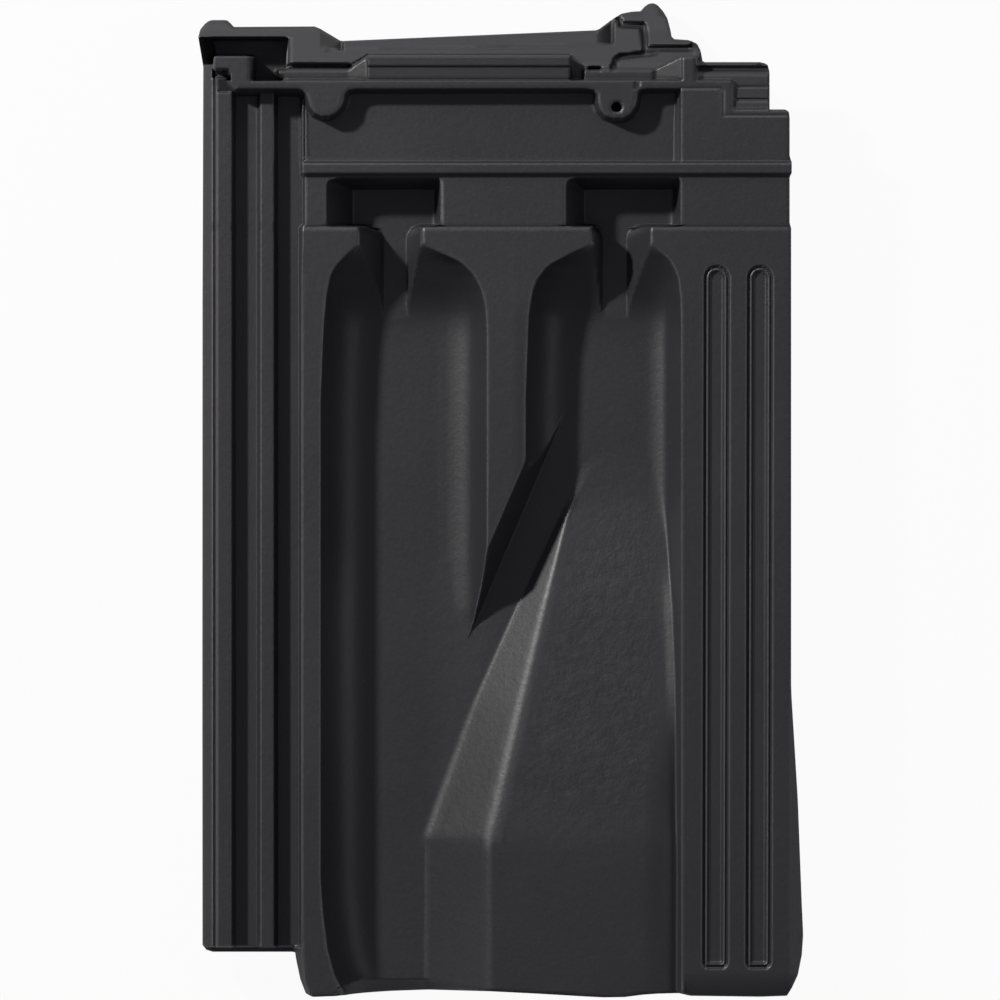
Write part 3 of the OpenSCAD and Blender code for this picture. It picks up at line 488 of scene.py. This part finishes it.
# ledges behind the rim, the rises from these to the bars, and the two bars with their open right end
LEDGE, LEDGE_HEAD, LEDGE_CORNER, LEDGE_SLANT = -3.6, 69, 275, 0.8
LEDGE_L_END, LEDGE_R_SPAN = 348, (584, 654)
RISE_L_SPAN, RISE_L_X, RISE_L_HEAD, RISE_L_HEIGHTS = (348, 367.5), [348, 367], [69, 56.5], [-3.6, -2.0]
RISE_R_SPAN, RISE_R_X, RISE_R_HEAD = (654, 683), [654, 681], [69.5, 56]
RISE_R_TOP_X, RISE_R_HEIGHTS = [654, 682], [-4.4, -1.6]
BARS_SPAN, BARS_HEAD, BARS_STEP, FRONT_BAR, REAR_BAR = (367.5, 570.5), 55, 66.3, -1.0, 0.2
BAR_END_SPAN, BAR_END_X, BAR_END_HEAD, BAR_END = (570.5, 584), [570, 590], [55, 70], -10.5
# round edge and wall of the rim, gap behind the hook and the slanted foot below it
RIM_EDGE, RIM_EDGE_ROWS, RIM_WALL_HEAD = 0.6, (82, 86), 80
HOOK_GAP, HOOK_GAP_BOX = -16.5, (213, 229, 69.9, 77)
HOOK_FOOT = [(216, 77), (228, 77), (230.5, 92), (217, 92)]
HOOK_FOOT_ROWS, HOOK_FOOT_HEIGHTS = [77, 92], [-7, -11]
HOOK_OPEN_BOX = (212, 228, 70.3, 92)
GROOVE_SIDE = 1.2


def grooved(x, y, grooves):
    """Depth of narrow grooves, each along its own line with its own width and depth."""
    total = 0
    for line, width, depth in grooves:
        away = nearest_on(x, y, [line], closed=False)[0]
        total = total + depth * np.clip((0.5 * width + 0.5 * GROOVE_SIDE - away) / GROOVE_SIDE, 0.0, 1.0)
    return total


def head_height(x, y, z):
    """Rim, lugs, hook, stepped bars and the sloped head end with its nib blocks, laid over the face."""
    rows = y[:, 0] < HEAD_TAIL
    x, y, full = x[rows], y[rows], z
    z = full[rows].copy()
    slope = between(y, SLOPE_ROWS, SLOPE_HEIGHTS)
    z = np.where(y < SLOPE_TAIL, slope, z)
    corner = (x > CORNER_LEFT) & (y < CORNER_TAIL) & ((x > CORNER_STEP_X) | (y < CORNER_STEP_Y))
    z = np.where(corner, between(y, CORNER_ROWS, CORNER_HEIGHTS), z)
    # recess behind the hook and shaded end faces of the two nib blocks
    outer = between(y, HOOK_EDGE_ROWS, HOOK_EDGE)
    z = np.where(within(x, y, RECESS_BOX), np.maximum(RECESS, RECESS_EDGE - (x - outer) * RECESS_SLOPE), z)
    for box in FLANGE_END_BOXES:
        z = np.where(within(x, y, box), between(x, FLANGE_PLACES, FLANGE_HEIGHTS), z)
    z = np.where(within(x, y, (*STRIP_SPAN, -FAR, between(x, STRIP_X, STRIP_TAIL))), slope - STRIP_DROP, z)
    for span, tail, drop in ((LEFT_FACE, between(x, LEFT_FACE, LEFT_FACE_TAIL), LEFT_FACE_DROP),
                             (RIGHT_FACE, RIGHT_FACE_TAIL, RIGHT_FACE_DROP)):
        sunk = slope - drop * (x - span[0]) / (span[1] - span[0])
        z = np.where(within(x, y, (*span, -FAR, tail)), sunk, z)
    # ledges and bars behind the rim
    ledge_left = LEDGE_CORNER + (y - LEDGE_HEAD) * LEDGE_SLANT
    for span in ((ledge_left, LEDGE_L_END), LEDGE_R_SPAN):
        z = np.where(within(x, y, (*span, LEDGE_HEAD, BARS_TAIL)), LEDGE, z)
    rise_l = (x >= RISE_L_SPAN[0]) & (x < RISE_L_SPAN[1]) & (y > between(x, RISE_L_X, RISE_L_HEAD))
    rise_r = (x >= RISE_R_SPAN[0]) & (x < RISE_R_SPAN[1]) & (y > between(x, RISE_R_X, RISE_R_HEAD))
    z = np.where(rise_l & (y < BARS_TAIL), between(x, RISE_L_X, RISE_L_HEIGHTS), z)
    z = np.where(rise_r & (y < BARS_TAIL), between(x, RISE_R_TOP_X, RISE_R_HEIGHTS), z)
    z = np.where(within(x, y, (*BARS_SPAN, BARS_STEP, BARS_TAIL)), FRONT_BAR, z)
    z = np.where(within(x, y, (*BARS_SPAN, BARS_HEAD, BARS_STEP)), REAR_BAR, z)
    z = np.where(within(x, y, (*BAR_END_SPAN, between(x, BAR_END_X, BAR_END_HEAD), BARS_TAIL)), BAR_END, z)
    z = z - grooved(x, y, HEAD_GROOVES)
    # rim with round edges and drafted walls, and the slanted foot below the hook
    away = nearest_on(x, y, [RIM_OUTLINE])[0]
    on_rim = inside(x, y, RIM_OUTLINE)
    face = HEAD_RIM - RIM_EDGE * np.clip(1.0 - away / RIM_ROUND, 0.0, 1.0) ** 2 * ease(y, *RIM_EDGE_ROWS)
    face = face - grooved(x, y, RIM_NICKS)
    wall = np.where(y > RIM_WALL_HEAD, HEAD_RIM - RIM_EDGE - away * RIM_DRAFT, BELOW_ALL)
    z = np.where(within(x, y, HOOK_GAP_BOX), HOOK_GAP, z)
    z = np.where(inside(x, y, HOOK_FOOT), between(y, HOOK_FOOT_ROWS, HOOK_FOOT_HEIGHTS), z)
    z = np.where(on_rim, face, np.where(within(x, y, HOOK_OPEN_BOX), z, np.maximum(z, wall)))
    full[rows] = z
    return full


# underside: levels below the face, and the spans, boxes and profiles where they change
UNDER, UNDER_FLANGE, UNDER_COVER, UNDER_SKIRT, UNDER_CORNER = -34.0, -27.5, -9.5, -12.5, -14.0
UNDER_HOLLOW, NIB_FOOT = -19.5, -40.9
BODY_LEFT, BODY_RIGHT = 300, 700
BODY_SIDE_SPAN, BODY_SIDE_X, BODY_SIDE_HEIGHTS = (692, 706), [692, 704], [UNDER, -12]
COVER_LOCKS, LOCK_SIDE, LOCK_FOOT, LOCK_ROWS = [(720.5, 746.5), (763, 788)], 4, -15.5, (120, 950)
SKIRT_UNDER_BOX, CORNER_UNDER_BOX = (789, FAR, 690, FAR), (697, FAR, -FAR, 116)
HOLLOW_BOXES = [(302, 700, 82, 172), (452, 552, 165, 238)]
RIB_UNDER_X, RIB_UNDER_HEIGHTS = [470, 500, 514, 548], [UNDER, -15, -15, UNDER]
RIB_UNDER_BOX = (-FAR, FAR, 238, 420)
EDGE_UNDER_X, EDGE_UNDER_HEIGHTS, EDGE_UNDER_HEAD = [316, 326, 354], [UNDER, -18, UNDER], 238
# roof of the hollow under the wedge
ROOF_ROWS, ROOF_ROW_HEIGHTS = [510, 838, 1000], [UNDER, -11.5, -12.5]
ROOF_LEFT_X, ROOF_LEFT_HEIGHTS = [470, 510], [UNDER, -11]
ROOF_RIGHT_X, ROOF_RIGHT_HEIGHTS = [660, 668], [-11, UNDER]
ROOF_BOX, ROOF_FRONT, ROOF_SLANT = (440, 668, 505, FAR), 838, 0.06
HEAD_UNDER_TAIL, NIB_BOXES = 82, [(-FAR, 341, -FAR, 75), (598, 672, -FAR, 75)]


def back_height(x, y):
    """Height of the underside: trough bottoms, flange, cover flange with its two ribs, hollows and nibs."""
    z = np.where(x < BODY_LEFT, UNDER_FLANGE, UNDER)
    z = np.where(x > BODY_RIGHT, UNDER_COVER, z)
    side = (x > BODY_SIDE_SPAN[0]) & (x <= BODY_SIDE_SPAN[1])
    z = np.where(side, between(x, BODY_SIDE_X, BODY_SIDE_HEIGHTS), z)
    for low, high in COVER_LOCKS:
        lock = between(x, [low, low + LOCK_SIDE, high - LOCK_SIDE, high],
                       [UNDER_COVER, LOCK_FOOT, LOCK_FOOT, UNDER_COVER])
        z = np.where(within(x, y, (low, high, *LOCK_ROWS)), np.minimum(z, lock), z)
    z = np.where(within(x, y, SKIRT_UNDER_BOX), UNDER_SKIRT, z)
    for box in HOLLOW_BOXES:
        z = np.where(within(x, y, box), UNDER_HOLLOW, z)
    rib = between(x, RIB_UNDER_X, RIB_UNDER_HEIGHTS)
    z = np.where(within(x, y, RIB_UNDER_BOX), np.maximum(z, rib), z)
    z = np.where(y > EDGE_UNDER_HEAD, np.maximum(z, between(x, EDGE_UNDER_X, EDGE_UNDER_HEIGHTS)), z)
    left = between(x, ROOF_LEFT_X, ROOF_LEFT_HEIGHTS) + (y < ROOF_FRONT) * (ROOF_FRONT - y) * -ROOF_SLANT
    right = between(x, ROOF_RIGHT_X, ROOF_RIGHT_HEIGHTS)
    roof = np.minimum(between(y, ROOF_ROWS, ROOF_ROW_HEIGHTS), np.minimum(left, right))
    z = np.where(within(x, y, ROOF_BOX), np.maximum(z, roof), z)
    z = np.where(y < HEAD_UNDER_TAIL, UNDER, z)
    for box in NIB_BOXES:
        z = np.where(within(x, y, box), NIB_FOOT, z)
    return np.where(within(x, y, CORNER_UNDER_BOX), UNDER_CORNER, z)


# raster of the face in sheet units, and the bells that round its edges and even out its bend
RASTER_X, RASTER_Y, RASTER_STEP = (190, 810), (-6, 1006), 0.4
EDGE_BELL, BEND_BELL, BELL_REACH = 0.55, 1.0, 3.5
LAST_CELL = 1.001


def blurred(z, width):
    """Gaussian blur along both axes, edge values held, which rounds every edge by about its width."""
    reach = int(BELL_REACH * width) + 1
    kernel = np.exp(-0.5 * (np.arange(-reach, reach + 1) / width) ** 2)
    kernel /= kernel.sum()
    for axis in (0, 1):
        count = z.shape[axis]
        padded = np.pad(z, [(reach, reach) if a == axis else (0, 0) for a in (0, 1)], mode="edge")
        z = sum(k * (padded[i:i + count] if axis == 0 else padded[:, i:i + count]) for i, k in enumerate(kernel))
    return z


def rounded_face():
    """Face height on a fine even raster, rounded by the blur, with its slopes and the bend of its edges."""
    xs, ys = np.arange(*RASTER_X, RASTER_STEP), np.arange(*RASTER_Y, RASTER_STEP)
    x, y = np.meshgrid(xs, ys)
    z = blurred(face_height(x, y), EDGE_BELL / RASTER_STEP)
    down, across = np.gradient(z, RASTER_STEP * UNIT_MM)
    bend = -np.gradient(across / np.hypot(1.0, across), RASTER_STEP * UNIT_MM, axis=1)
    bend -= np.gradient(down / np.hypot(1.0, down), RASTER_STEP * UNIT_MM, axis=0)
    bend = blurred(bend, BEND_BELL)

    def look(px, py):
        """Height, both slopes and bend at any places, straight-line between raster points."""
        fx = np.clip((px - xs[0]) / RASTER_STEP, 0, len(xs) - LAST_CELL)
        fy = np.clip((py - ys[0]) / RASTER_STEP, 0, len(ys) - LAST_CELL)
        i, j = fx.astype(int), fy.astype(int)
        u, v = fx - i, fy - j
        return [(f[j, i] * (1 - u) + f[j, i + 1] * u) * (1 - v) + (f[j + 1, i] * (1 - u) + f[j + 1, i + 1] * u) * v
                for f in (z, across, down, bend)]

    return look


def stations(knots, counts):
    """Stations between knots, crowded towards them by a cosine; knots has one row per grid line."""
    knots = np.atleast_2d(np.asarray(knots, float))
    spans = []
    for i, n in enumerate(counts):
        t = np.arange(n) / n
        t = (1.0 - CROWDING) * t + CROWDING * 0.5 * (1.0 - np.cos(np.pi * t))
        spans.append(knots[:, i:i + 1] + (knots[:, i + 1:i + 2] - knots[:, i:i + 1]) * t)
    return np.concatenate(spans + [knots[:, -1:]], axis=1)


def tile_grid():
    """Sheet places of the grid: straight rows, and columns that follow the guide lines."""
    rows = stations(ROW_GUIDES, ROWS)[0]
    x = stations(np.stack([along(g, rows) for g in GUIDES], axis=1), COLUMNS)
    return x, np.repeat(rows[:, None], x.shape[1], axis=1)


# traces on the surface: edges rubbed pale and brightened as painted highlight, where these are spared, painted
# shade in the corners, and the smeared skin of the ramp, which is also painted darker as shade
RUB_AND_HIGHLIGHT_ROWS, SPARED_SHARE, LINE_SPARED = (83, 88), 0.2, 4
SPARED_BOXES = [(354, 426, 246, 318), (588, 656, 246, 318), (340, 520, 846, FAR)]
# rubbed wear and painted highlight: paler colour where the surface bends outward
WEAR_HIGHLIGHT_GAIN, WEAR_HIGHLIGHT_FLOOR = 0.55, 0.12
# painted shade: colour darkened where the surface bends inward, most where edges are not rubbed, as at the head
# end
CREASE_SHADE_GAIN, CREASE_SHADE_FLOOR, CREASE_SHADE_MOST, CREASE_SHADE_EASED = 0.45, 0.2, 2.2, 1.2
RAMP_ROWS, RAMP_END_ROWS, RAMP_LEFT, RAMP_RIGHT = (430, 560), (780, 870), (4, 30), (640, 668)


def surface_traces(x, y, bend):
    """Edges rubbed pale and brightened as painted highlight where the surface bends outward, painted shade where
    it bends inward, and the smeared ramp, which is also painted darker as shade.
    """
    spared = np.abs(y - FIELD_HEAD) < LINE_SPARED
    for box in SPARED_BOXES:
        spared = spared | within(x, y, box)
    rub_and_highlight_share = ease(y, *RUB_AND_HIGHLIGHT_ROWS) * np.where(spared, SPARED_SHARE, 1.0)
    # rubbed edge wear together with painted highlight along the outward bends
    wear_and_highlight = np.clip(bend * WEAR_HIGHLIGHT_GAIN - WEAR_HIGHLIGHT_FLOOR, 0.0, 1.0) * rub_and_highlight_share
    # painted shade in the creases and corners, stronger where the edges are spared from rubbing
    crease_shade = np.clip(-bend * CREASE_SHADE_GAIN - CREASE_SHADE_FLOOR, 0.0, 1.0) * (CREASE_SHADE_MOST - CREASE_SHADE_EASED * rub_and_highlight_share)
    ramp = ease(y, *RAMP_ROWS) * (1.0 - ease(y, *RAMP_END_ROWS)) * ease(x - along(WEDGE_RIDGE, y), *RAMP_LEFT)
    ramp = ramp * (1.0 - ease(x, *RAMP_RIGHT))
    return {"edge_wear_and_highlight": wear_and_highlight, "crease_shade": crease_shade, "ramp_smear_and_shade": ramp}


# edge of the outline: its round and how much of it is pressed, least clay, and the strip with plain normals
OUTLINE_ROUND_MM, OUTLINE_SHARE, LEAST_CLAY_MM, PLAIN_STRIP_MM = 0.9, 0.8, 3.0, 0.4


def tile_mesh():
    """Closed clay body: a fine upper sheet, a lower sheet on every second grid line and walls between their rims.

    A block of two by two grid cells is clay where its middle lies in the silhouette and out of the nail hole, and
    the points on the border of those blocks are moved onto the outline."""
    x, y = tile_grid()
    cx, cy = x[1::2, 1::2], y[1::2, 1::2]
    clay = inside(cx, cy, SILHOUETTE) & ~inside(cx, cy, NAIL_HOLE)
    fine = np.repeat(np.repeat(clay, 2, 0), 2, 1)
    rows, cols = x.shape
    touch = np.zeros((rows, cols), int)
    for a, b in ((0, 0), (0, 1), (1, 0), (1, 1)):
        touch[a:rows - 1 + a, b:cols - 1 + b] += fine
    border = (touch > 0) & (touch < 4)
    away, nx, ny = nearest_on(x, y, [SILHOUETTE, NAIL_HOLE])
    x, y = np.where(border, nx, x), np.where(border, ny, y)
    away = np.where(border, 0.0, away) * UNIT_MM
    into = np.clip(OUTLINE_ROUND_MM - away, 0, None)
    drop = OUTLINE_ROUND_MM - np.sqrt(np.clip(OUTLINE_ROUND_MM ** 2 - into ** 2, 0, None))
    top, across, down, bend = rounded_face()(x, y)
    top = top - OUTLINE_SHARE * drop
    low = np.minimum(back_height(x, y), top - LEAST_CLAY_MM)

    used = touch > 0
    up_id = np.full((rows, cols), -1)
    up_id[used] = np.arange(used.sum())
    coarse = np.zeros_like(used)
    coarse[::2, ::2] = used[::2, ::2]
    low_id = np.full((rows, cols), -1)
    low_id[coarse] = used.sum() + np.arange(coarse.sum())

    def metres(mask, z):
        """Points in metres from sheet places and heights below or above the face."""
        return np.stack([(x[mask] - SHEET_MIDDLE) * UNIT_MM, (SHEET_MIDDLE - y[mask]) * UNIT_MM,
                         FACE_MM + z[mask]], 1) * MM

    points = np.concatenate([metres(used, top), metres(coarse, low)])
    r, c = np.nonzero(fine)
    upper = np.stack([up_id[r + 1, c], up_id[r + 1, c + 1], up_id[r, c + 1], up_id[r, c]], 1)
    br, bc = np.nonzero(clay)
    br, bc = br * 2, bc * 2
    lower = np.stack([low_id[br, bc], low_id[br, bc + 2], low_id[br + 2, bc + 2], low_id[br + 2, bc]], 1)
    around = np.pad(clay, 1)
    walls = []
    for dr, dc, start, end in ((-1, 0, (0, 0), (0, 2)), (1, 0, (2, 2), (2, 0)),
                               (0, -1, (2, 0), (0, 0)), (0, 1, (0, 2), (2, 2))):
        bare = clay & ~around[1 + dr:around.shape[0] - 1 + dr, 1 + dc:around.shape[1] - 1 + dc]
        wr, wc = np.nonzero(bare)
        wr, wc = wr * 2, wc * 2
        first, last = (wr + start[0], wc + start[1]), (wr + end[0], wc + end[1])
        half = (wr + (start[0] + end[0]) // 2, wc + (start[1] + end[1]) // 2)
        walls.append(np.stack([up_id[first], up_id[half], up_id[last], low_id[last], low_id[first]], 1))
    walls = np.concatenate(walls)

    slopes = np.stack([-across[used], down[used], np.ones(used.sum())], 1)
    slopes /= np.linalg.norm(slopes, axis=1, keepdims=True)
    slopes[away[used] < OUTLINE_ROUND_MM + PLAIN_STRIP_MM] = 0.0
    turns = np.zeros((upper.size + lower.size + walls.size, 3))
    turns[:upper.size] = slopes[upper.ravel()]
    plain = np.zeros(coarse.sum())
    traces = {name: np.concatenate([values[used], plain]) for name, values in surface_traces(x, y, bend).items()}
    return points, [upper, lower, walls], turns, traces


def mesh_piece(name, points, faces):
    """Mesh object from a point array and a list of face arrays, written with whole-array calls."""
    mesh = bpy.data.meshes.new(name)
    corners = np.concatenate([f.ravel() for f in faces]).astype(np.int32)
    sizes = np.concatenate([np.full(len(f), f.shape[1], np.int32) for f in faces])
    mesh.vertices.add(len(points))
    mesh.vertices.foreach_set("co", points.astype(np.float32).ravel())
    mesh.loops.add(len(corners))
    mesh.loops.foreach_set("vertex_index", corners)
    mesh.polygons.add(len(sizes))
    mesh.polygons.foreach_set("loop_start", np.concatenate([[0], np.cumsum(sizes)[:-1]]).astype(np.int32))
    mesh.polygons.foreach_set("loop_total", sizes)
    mesh.polygons.foreach_set("use_smooth", np.ones(len(sizes), bool))
    mesh.update()
    mesh.validate()
    piece = bpy.data.objects.new(name, mesh)
    bpy.context.scene.collection.objects.link(piece)
    return piece


class Wire:
    """One socket of a node tree, so that shader maths reads as plain expressions."""

    def __init__(self, tree, socket):
        self.tree, self.socket = tree, socket

    def node(self, kind, settings=(), out=0, **sockets):
        """Any other node: its type, its settings and what goes into its sockets, by name or number."""
        made = self.tree.nodes.new(kind)
        for key, value in dict(settings).items():
            setattr(made, key, value)
        for key, value in sockets.items():
            place = made.inputs[int(key[1:]) if key[0] == "_" and key[1:].isdigit() else key.replace("_", " ")]
            if isinstance(value, Wire):
                self.tree.links.new(value.socket, place)
            else:
                place.default_value = value
        return Wire(self.tree, made.outputs[out])

    def maths(self, how, a, b=0.0):
        """One maths node on two values."""
        return self.node("ShaderNodeMath", {"operation": how}, _0=a, _1=b)

    def __add__(self, o): return self.maths("ADD", self, o)
    def __radd__(self, o): return self.maths("ADD", o, self)
    def __sub__(self, o): return self.maths("SUBTRACT", self, o)
    def __rsub__(self, o): return self.maths("SUBTRACT", o, self)
    def __mul__(self, o): return self.maths("MULTIPLY", self, o)


# engobe: noises as scale, detail and roughness, colours, and the share of each in tone, roughness and relief
CLOUD, PEEL, GRAIN = (18.0, 4.0, 0.6), (620.0, 3.0, 0.55), (2400.0, 2.0, 0.6)
RIPPLE, DUST, SMEAR = (260.0, 3.0, 0.6), (900.0, 1.0, 0.4), (150.0, 5.0, 0.65)
# the smear middle above the noise middle darkens the ramp on average: painted shade over its mottled skin
NOISE_MIDDLE, SMEAR_SHADE_MIDDLE = 0.5, 0.62
ENGOBE_COLOUR, DUST_COLOUR = (0.0245, 0.0235, 0.0262), (0.16, 0.15, 0.14, 1.0)
SPECK_START, SPECK_FULL, SPECK_SHARE = 0.77, 0.82, 0.35
# tone shares: random cloud and grain, painted highlight with the rubbed edges, painted shade in the creases
CLOUD_TONE, GRAIN_TONE, WEAR_HIGHLIGHT_TONE, CREASE_SHADE_TONE = 0.22, 0.25, 3.0, 0.4
ROUGH, PEEL_ROUGH, CLOUD_ROUGH, WEAR_HIGHLIGHT_ROUGH, CREASE_SHADE_ROUGH = 0.465, 0.14, 0.10, 0.14, 0.18
PEEL_RELIEF, GRAIN_RELIEF, RIPPLE_RELIEF, SMEAR_RELIEF = 0.8, 0.25, 1.5, 6.0
RELIEF_SHARE, RELIEF_M, SHEEN = 0.35, 0.0002, 0.82


def engobe():
    """Dark satin engobe on fired clay: cloudy grey, fine orange peel, faint ripples, pale dust, rubbed edges with
    painted highlight, painted shade in creases and on the ramp.
    """
    mat = bpy.data.materials.new("dark_engobe")
    mat.use_nodes = True
    tree = mat.node_tree
    tree.nodes.clear()
    start = Wire(tree, tree.nodes.new("ShaderNodeTexCoord").outputs["Object"])

    def noise(scale, detail, rough):
        return start.node("ShaderNodeTexNoise", {}, 0, Vector=start, Scale=scale, Detail=detail, Roughness=rough)

    def trace(name):
        return start.node("ShaderNodeAttribute", {"attribute_name": name}, 2)

    cloud, peel, grain = noise(*CLOUD), noise(*PEEL), noise(*GRAIN)
    ripple, dust, smear = noise(*RIPPLE), noise(*DUST), noise(*SMEAR)
    wear_and_highlight, crease_shade = trace("edge_wear_and_highlight"), trace("crease_shade")
    # mottled skin of the ramp, shifted darker as painted shade
    ramp_smear_and_shade = trace("ramp_smear_and_shade") * (smear - SMEAR_SHADE_MIDDLE)
    speck = start.node("ShaderNodeMapRange", {"clamp": True}, 0, Value=dust, From_Min=SPECK_START,
                       From_Max=SPECK_FULL, To_Min=0.0, To_Max=1.0)
    # tone: random cloud and grain, pale rubbed edges with painted highlight, painted shade in creases and on the
    # ramp
    shade = (1.0 + (cloud - NOISE_MIDDLE) * CLOUD_TONE + (grain - NOISE_MIDDLE) * GRAIN_TONE
             + wear_and_highlight * (NOISE_MIDDLE + peel) * WEAR_HIGHLIGHT_TONE - crease_shade * CREASE_SHADE_TONE + ramp_smear_and_shade)
    red, green, blue = ENGOBE_COLOUR
    tone = start.node("ShaderNodeCombineColor", {}, 0, Red=shade * red, Green=shade * green, Blue=shade * blue)
    colour = start.node("ShaderNodeMix", {"data_type": "RGBA"}, 2, _0=speck * SPECK_SHARE, _6=tone, _7=DUST_COLOUR)
    rough = (ROUGH + (peel - NOISE_MIDDLE) * PEEL_ROUGH + (cloud - NOISE_MIDDLE) * CLOUD_ROUGH
             - wear_and_highlight * WEAR_HIGHLIGHT_ROUGH + crease_shade * CREASE_SHADE_ROUGH)
    relief = peel * PEEL_RELIEF + grain * GRAIN_RELIEF + ripple * RIPPLE_RELIEF + ramp_smear_and_shade * SMEAR_RELIEF
    bump = start.node("ShaderNodeBump", {}, 0, Strength=RELIEF_SHARE, Distance=RELIEF_M, Height=relief)
    shader = start.node("ShaderNodeBsdfPrincipled", {}, 0, Base_Color=colour, Roughness=rough, Normal=bump,
                        Specular_IOR_Level=SHEEN)
    out = tree.nodes.new("ShaderNodeOutputMaterial")
    tree.links.new(shader.socket, out.inputs["Surface"])
    return mat


# floor: half its side, how white camera and reflections see it, and the place under the tile painted dark as
# shadow, in metres
FLOOR_HALF = 6.0
WHITE_SEEN, WHITE_MIRRORED = 0.95, 0.10
FLOOR_GREY, PAINTED_SHADOW_GREY = (0.60, 0.60, 0.60, 1.0), (0.05, 0.05, 0.05, 1.0)
SHADE_HALF_X, SHADE_HALF_Y, SHADE_FADE, SHADE_SHARE = 0.116, 0.185, 0.045, 0.8
# painted shadow: black spot on the floor below the nail hole
HOLE_SHADOW_SPOT = 0.012


def pale_floor():
    """Pale floor below the tile, white to the camera and pale to reflections, with the tile's shadow; under the
    tile it is painted dark as shadow, and black below the nail hole.
    """
    size = FLOOR_HALF
    mesh = bpy.data.meshes.new("floor")
    mesh.from_pydata([(-size, -size, 0), (size, -size, 0), (size, size, 0), (-size, size, 0)], [], [(0, 1, 2, 3)])
    floor = bpy.data.objects.new("floor", mesh)
    bpy.context.scene.collection.objects.link(floor)
    mat = bpy.data.materials.new("floor_white")
    mat.use_nodes = True
    tree = mat.node_tree
    tree.nodes.clear()
    path = tree.nodes.new("ShaderNodeLightPath")
    seen = (Wire(tree, path.outputs["Is Camera Ray"]) * WHITE_SEEN
            + Wire(tree, path.outputs["Is Glossy Ray"]) * WHITE_MIRRORED)
    spot = Wire(tree, tree.nodes.new("ShaderNodeTexCoord").outputs["Object"])
    split = spot.node("ShaderNodeSeparateXYZ", {}, 0, Vector=spot).socket.node.outputs
    # painted shadow: soft-edged patch under the tile where the floor turns dark
    deep_x = SHADE_HALF_X - seen.maths("ABSOLUTE", Wire(tree, split["X"]))
    deep_y = SHADE_HALF_Y - seen.maths("ABSOLUTE", Wire(tree, split["Y"]))
    deep = seen.maths("MINIMUM", deep_x, deep_y)
    under = seen.node("ShaderNodeMapRange", {"clamp": True, "interpolation_type": "SMOOTHSTEP"}, 0,
                      Value=deep, From_Min=0.0, From_Max=SHADE_FADE, To_Min=0.0, To_Max=1.0)
    # painted shadow spot below the nail hole
    hole_x, hole_y = Wire(tree, split["X"]) - NAIL_PLACE[0], Wire(tree, split["Y"]) - NAIL_PLACE[1]
    hole = seen.maths("LESS_THAN", hole_x * hole_x + hole_y * hole_y, HOLE_SHADOW_SPOT ** 2)
    under = seen.maths("MAXIMUM", under * SHADE_SHARE, hole)
    seen = seen * (1.0 - under)
    matte = seen.node("ShaderNodeBsdfDiffuse", {}, 0, Color=FLOOR_GREY)
    # dark painted shadow colour that replaces the pale matte under the tile
    shade = seen.node("ShaderNodeBsdfDiffuse", {}, 0, Color=PAINTED_SHADOW_GREY)
    glow = seen.node("ShaderNodeEmission", {}, 0, Color=(1.0, 1.0, 1.0, 1.0), Strength=1.0)
    base = seen.node("ShaderNodeMixShader", {}, 0, _0=under, _1=matte, _2=shade)
    mix = seen.node("ShaderNodeMixShader", {}, 0, _0=seen, _1=base, _2=glow)
    out = tree.nodes.new("ShaderNodeOutputMaterial")
    tree.links.new(mix.socket, out.inputs["Surface"])
    mesh.materials.append(mat)


# studio: height the lamps aim at, sky, and a camera far enough off to see the tile nearly without perspective
AIM_HEIGHT = 0.03
SKY_COLOUR, SKY_GLOW = (0.87, 0.85, 1.0, 1.0), 0.14
CAMERA_FAR, CAMERA_CLIP, SENSOR_MM = 8.0, 50.0, 36.0
SHARP_ANGLE = 62.0


def area_lamp(name, place, size, glow, colour):
    """Rectangular soft lamp that faces the tile; glow is its brightness as a white surface would have it."""
    lamp = bpy.data.lights.new(name, "AREA")
    lamp.shape = "RECTANGLE"
    lamp.size, lamp.size_y = size
    lamp.energy = glow * math.pi * size[0] * size[1]
    lamp.color = colour
    holder = bpy.data.objects.new(name, lamp)
    holder.location = place
    aim = Vector(place) - Vector((0.0, 0.0, AIM_HEIGHT))
    holder.rotation_euler = aim.to_track_quat("Z", "Y").to_euler()
    bpy.context.scene.collection.objects.link(holder)


def studio():
    """Key lamp up and to the left, white cards past the head and the right side, and a camera straight above."""
    area_lamp("key", place=(-1.00, 0.86, 0.93), size=(0.095, 0.095), glow=790.0, colour=(1.0, 0.985, 0.96))
    area_lamp("head_card", place=(-0.1, 1.5, 0.8), size=(2.2, 0.8), glow=0.85, colour=(1.0, 1.0, 1.0))
    area_lamp("side_card", place=(1.6, 0.0, 0.5), size=(0.6, 1.8), glow=0.8, colour=(0.95, 0.94, 1.0))

    world = bpy.data.worlds.new("studio")
    bpy.context.scene.world = world
    world.use_nodes = True
    back = world.node_tree.nodes["Background"]
    back.inputs["Color"].default_value = SKY_COLOUR
    back.inputs["Strength"].default_value = SKY_GLOW

    cam = bpy.data.cameras.new("camera")
    cam.sensor_width = SENSOR_MM
    cam.lens = SENSOR_MM * CAMERA_FAR / UNIT_MM
    cam.clip_end = CAMERA_CLIP
    eye = bpy.data.objects.new("camera", cam)
    eye.location = (0.0, 0.0, FACE_MM * MM + CAMERA_FAR)
    bpy.context.scene.collection.objects.link(eye)
    bpy.context.scene.camera = eye


bpy.context.scene.view_settings.view_transform = "Standard"
points, faces, turns, traces = tile_mesh()
tile = mesh_piece("roof_tile_body", points, faces)
for name, values in traces.items():
    tile.data.attributes.new(name, "FLOAT", "POINT").data.foreach_set("value", values.astype(np.float32))
tile.data.set_sharp_from_angle(angle=math.radians(SHARP_ANGLE))
tile.data.normals_split_custom_set(turns)
tile.data.materials.append(engobe())
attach(tile, "root")
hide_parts("roof_tile")
pale_floor()
studio()
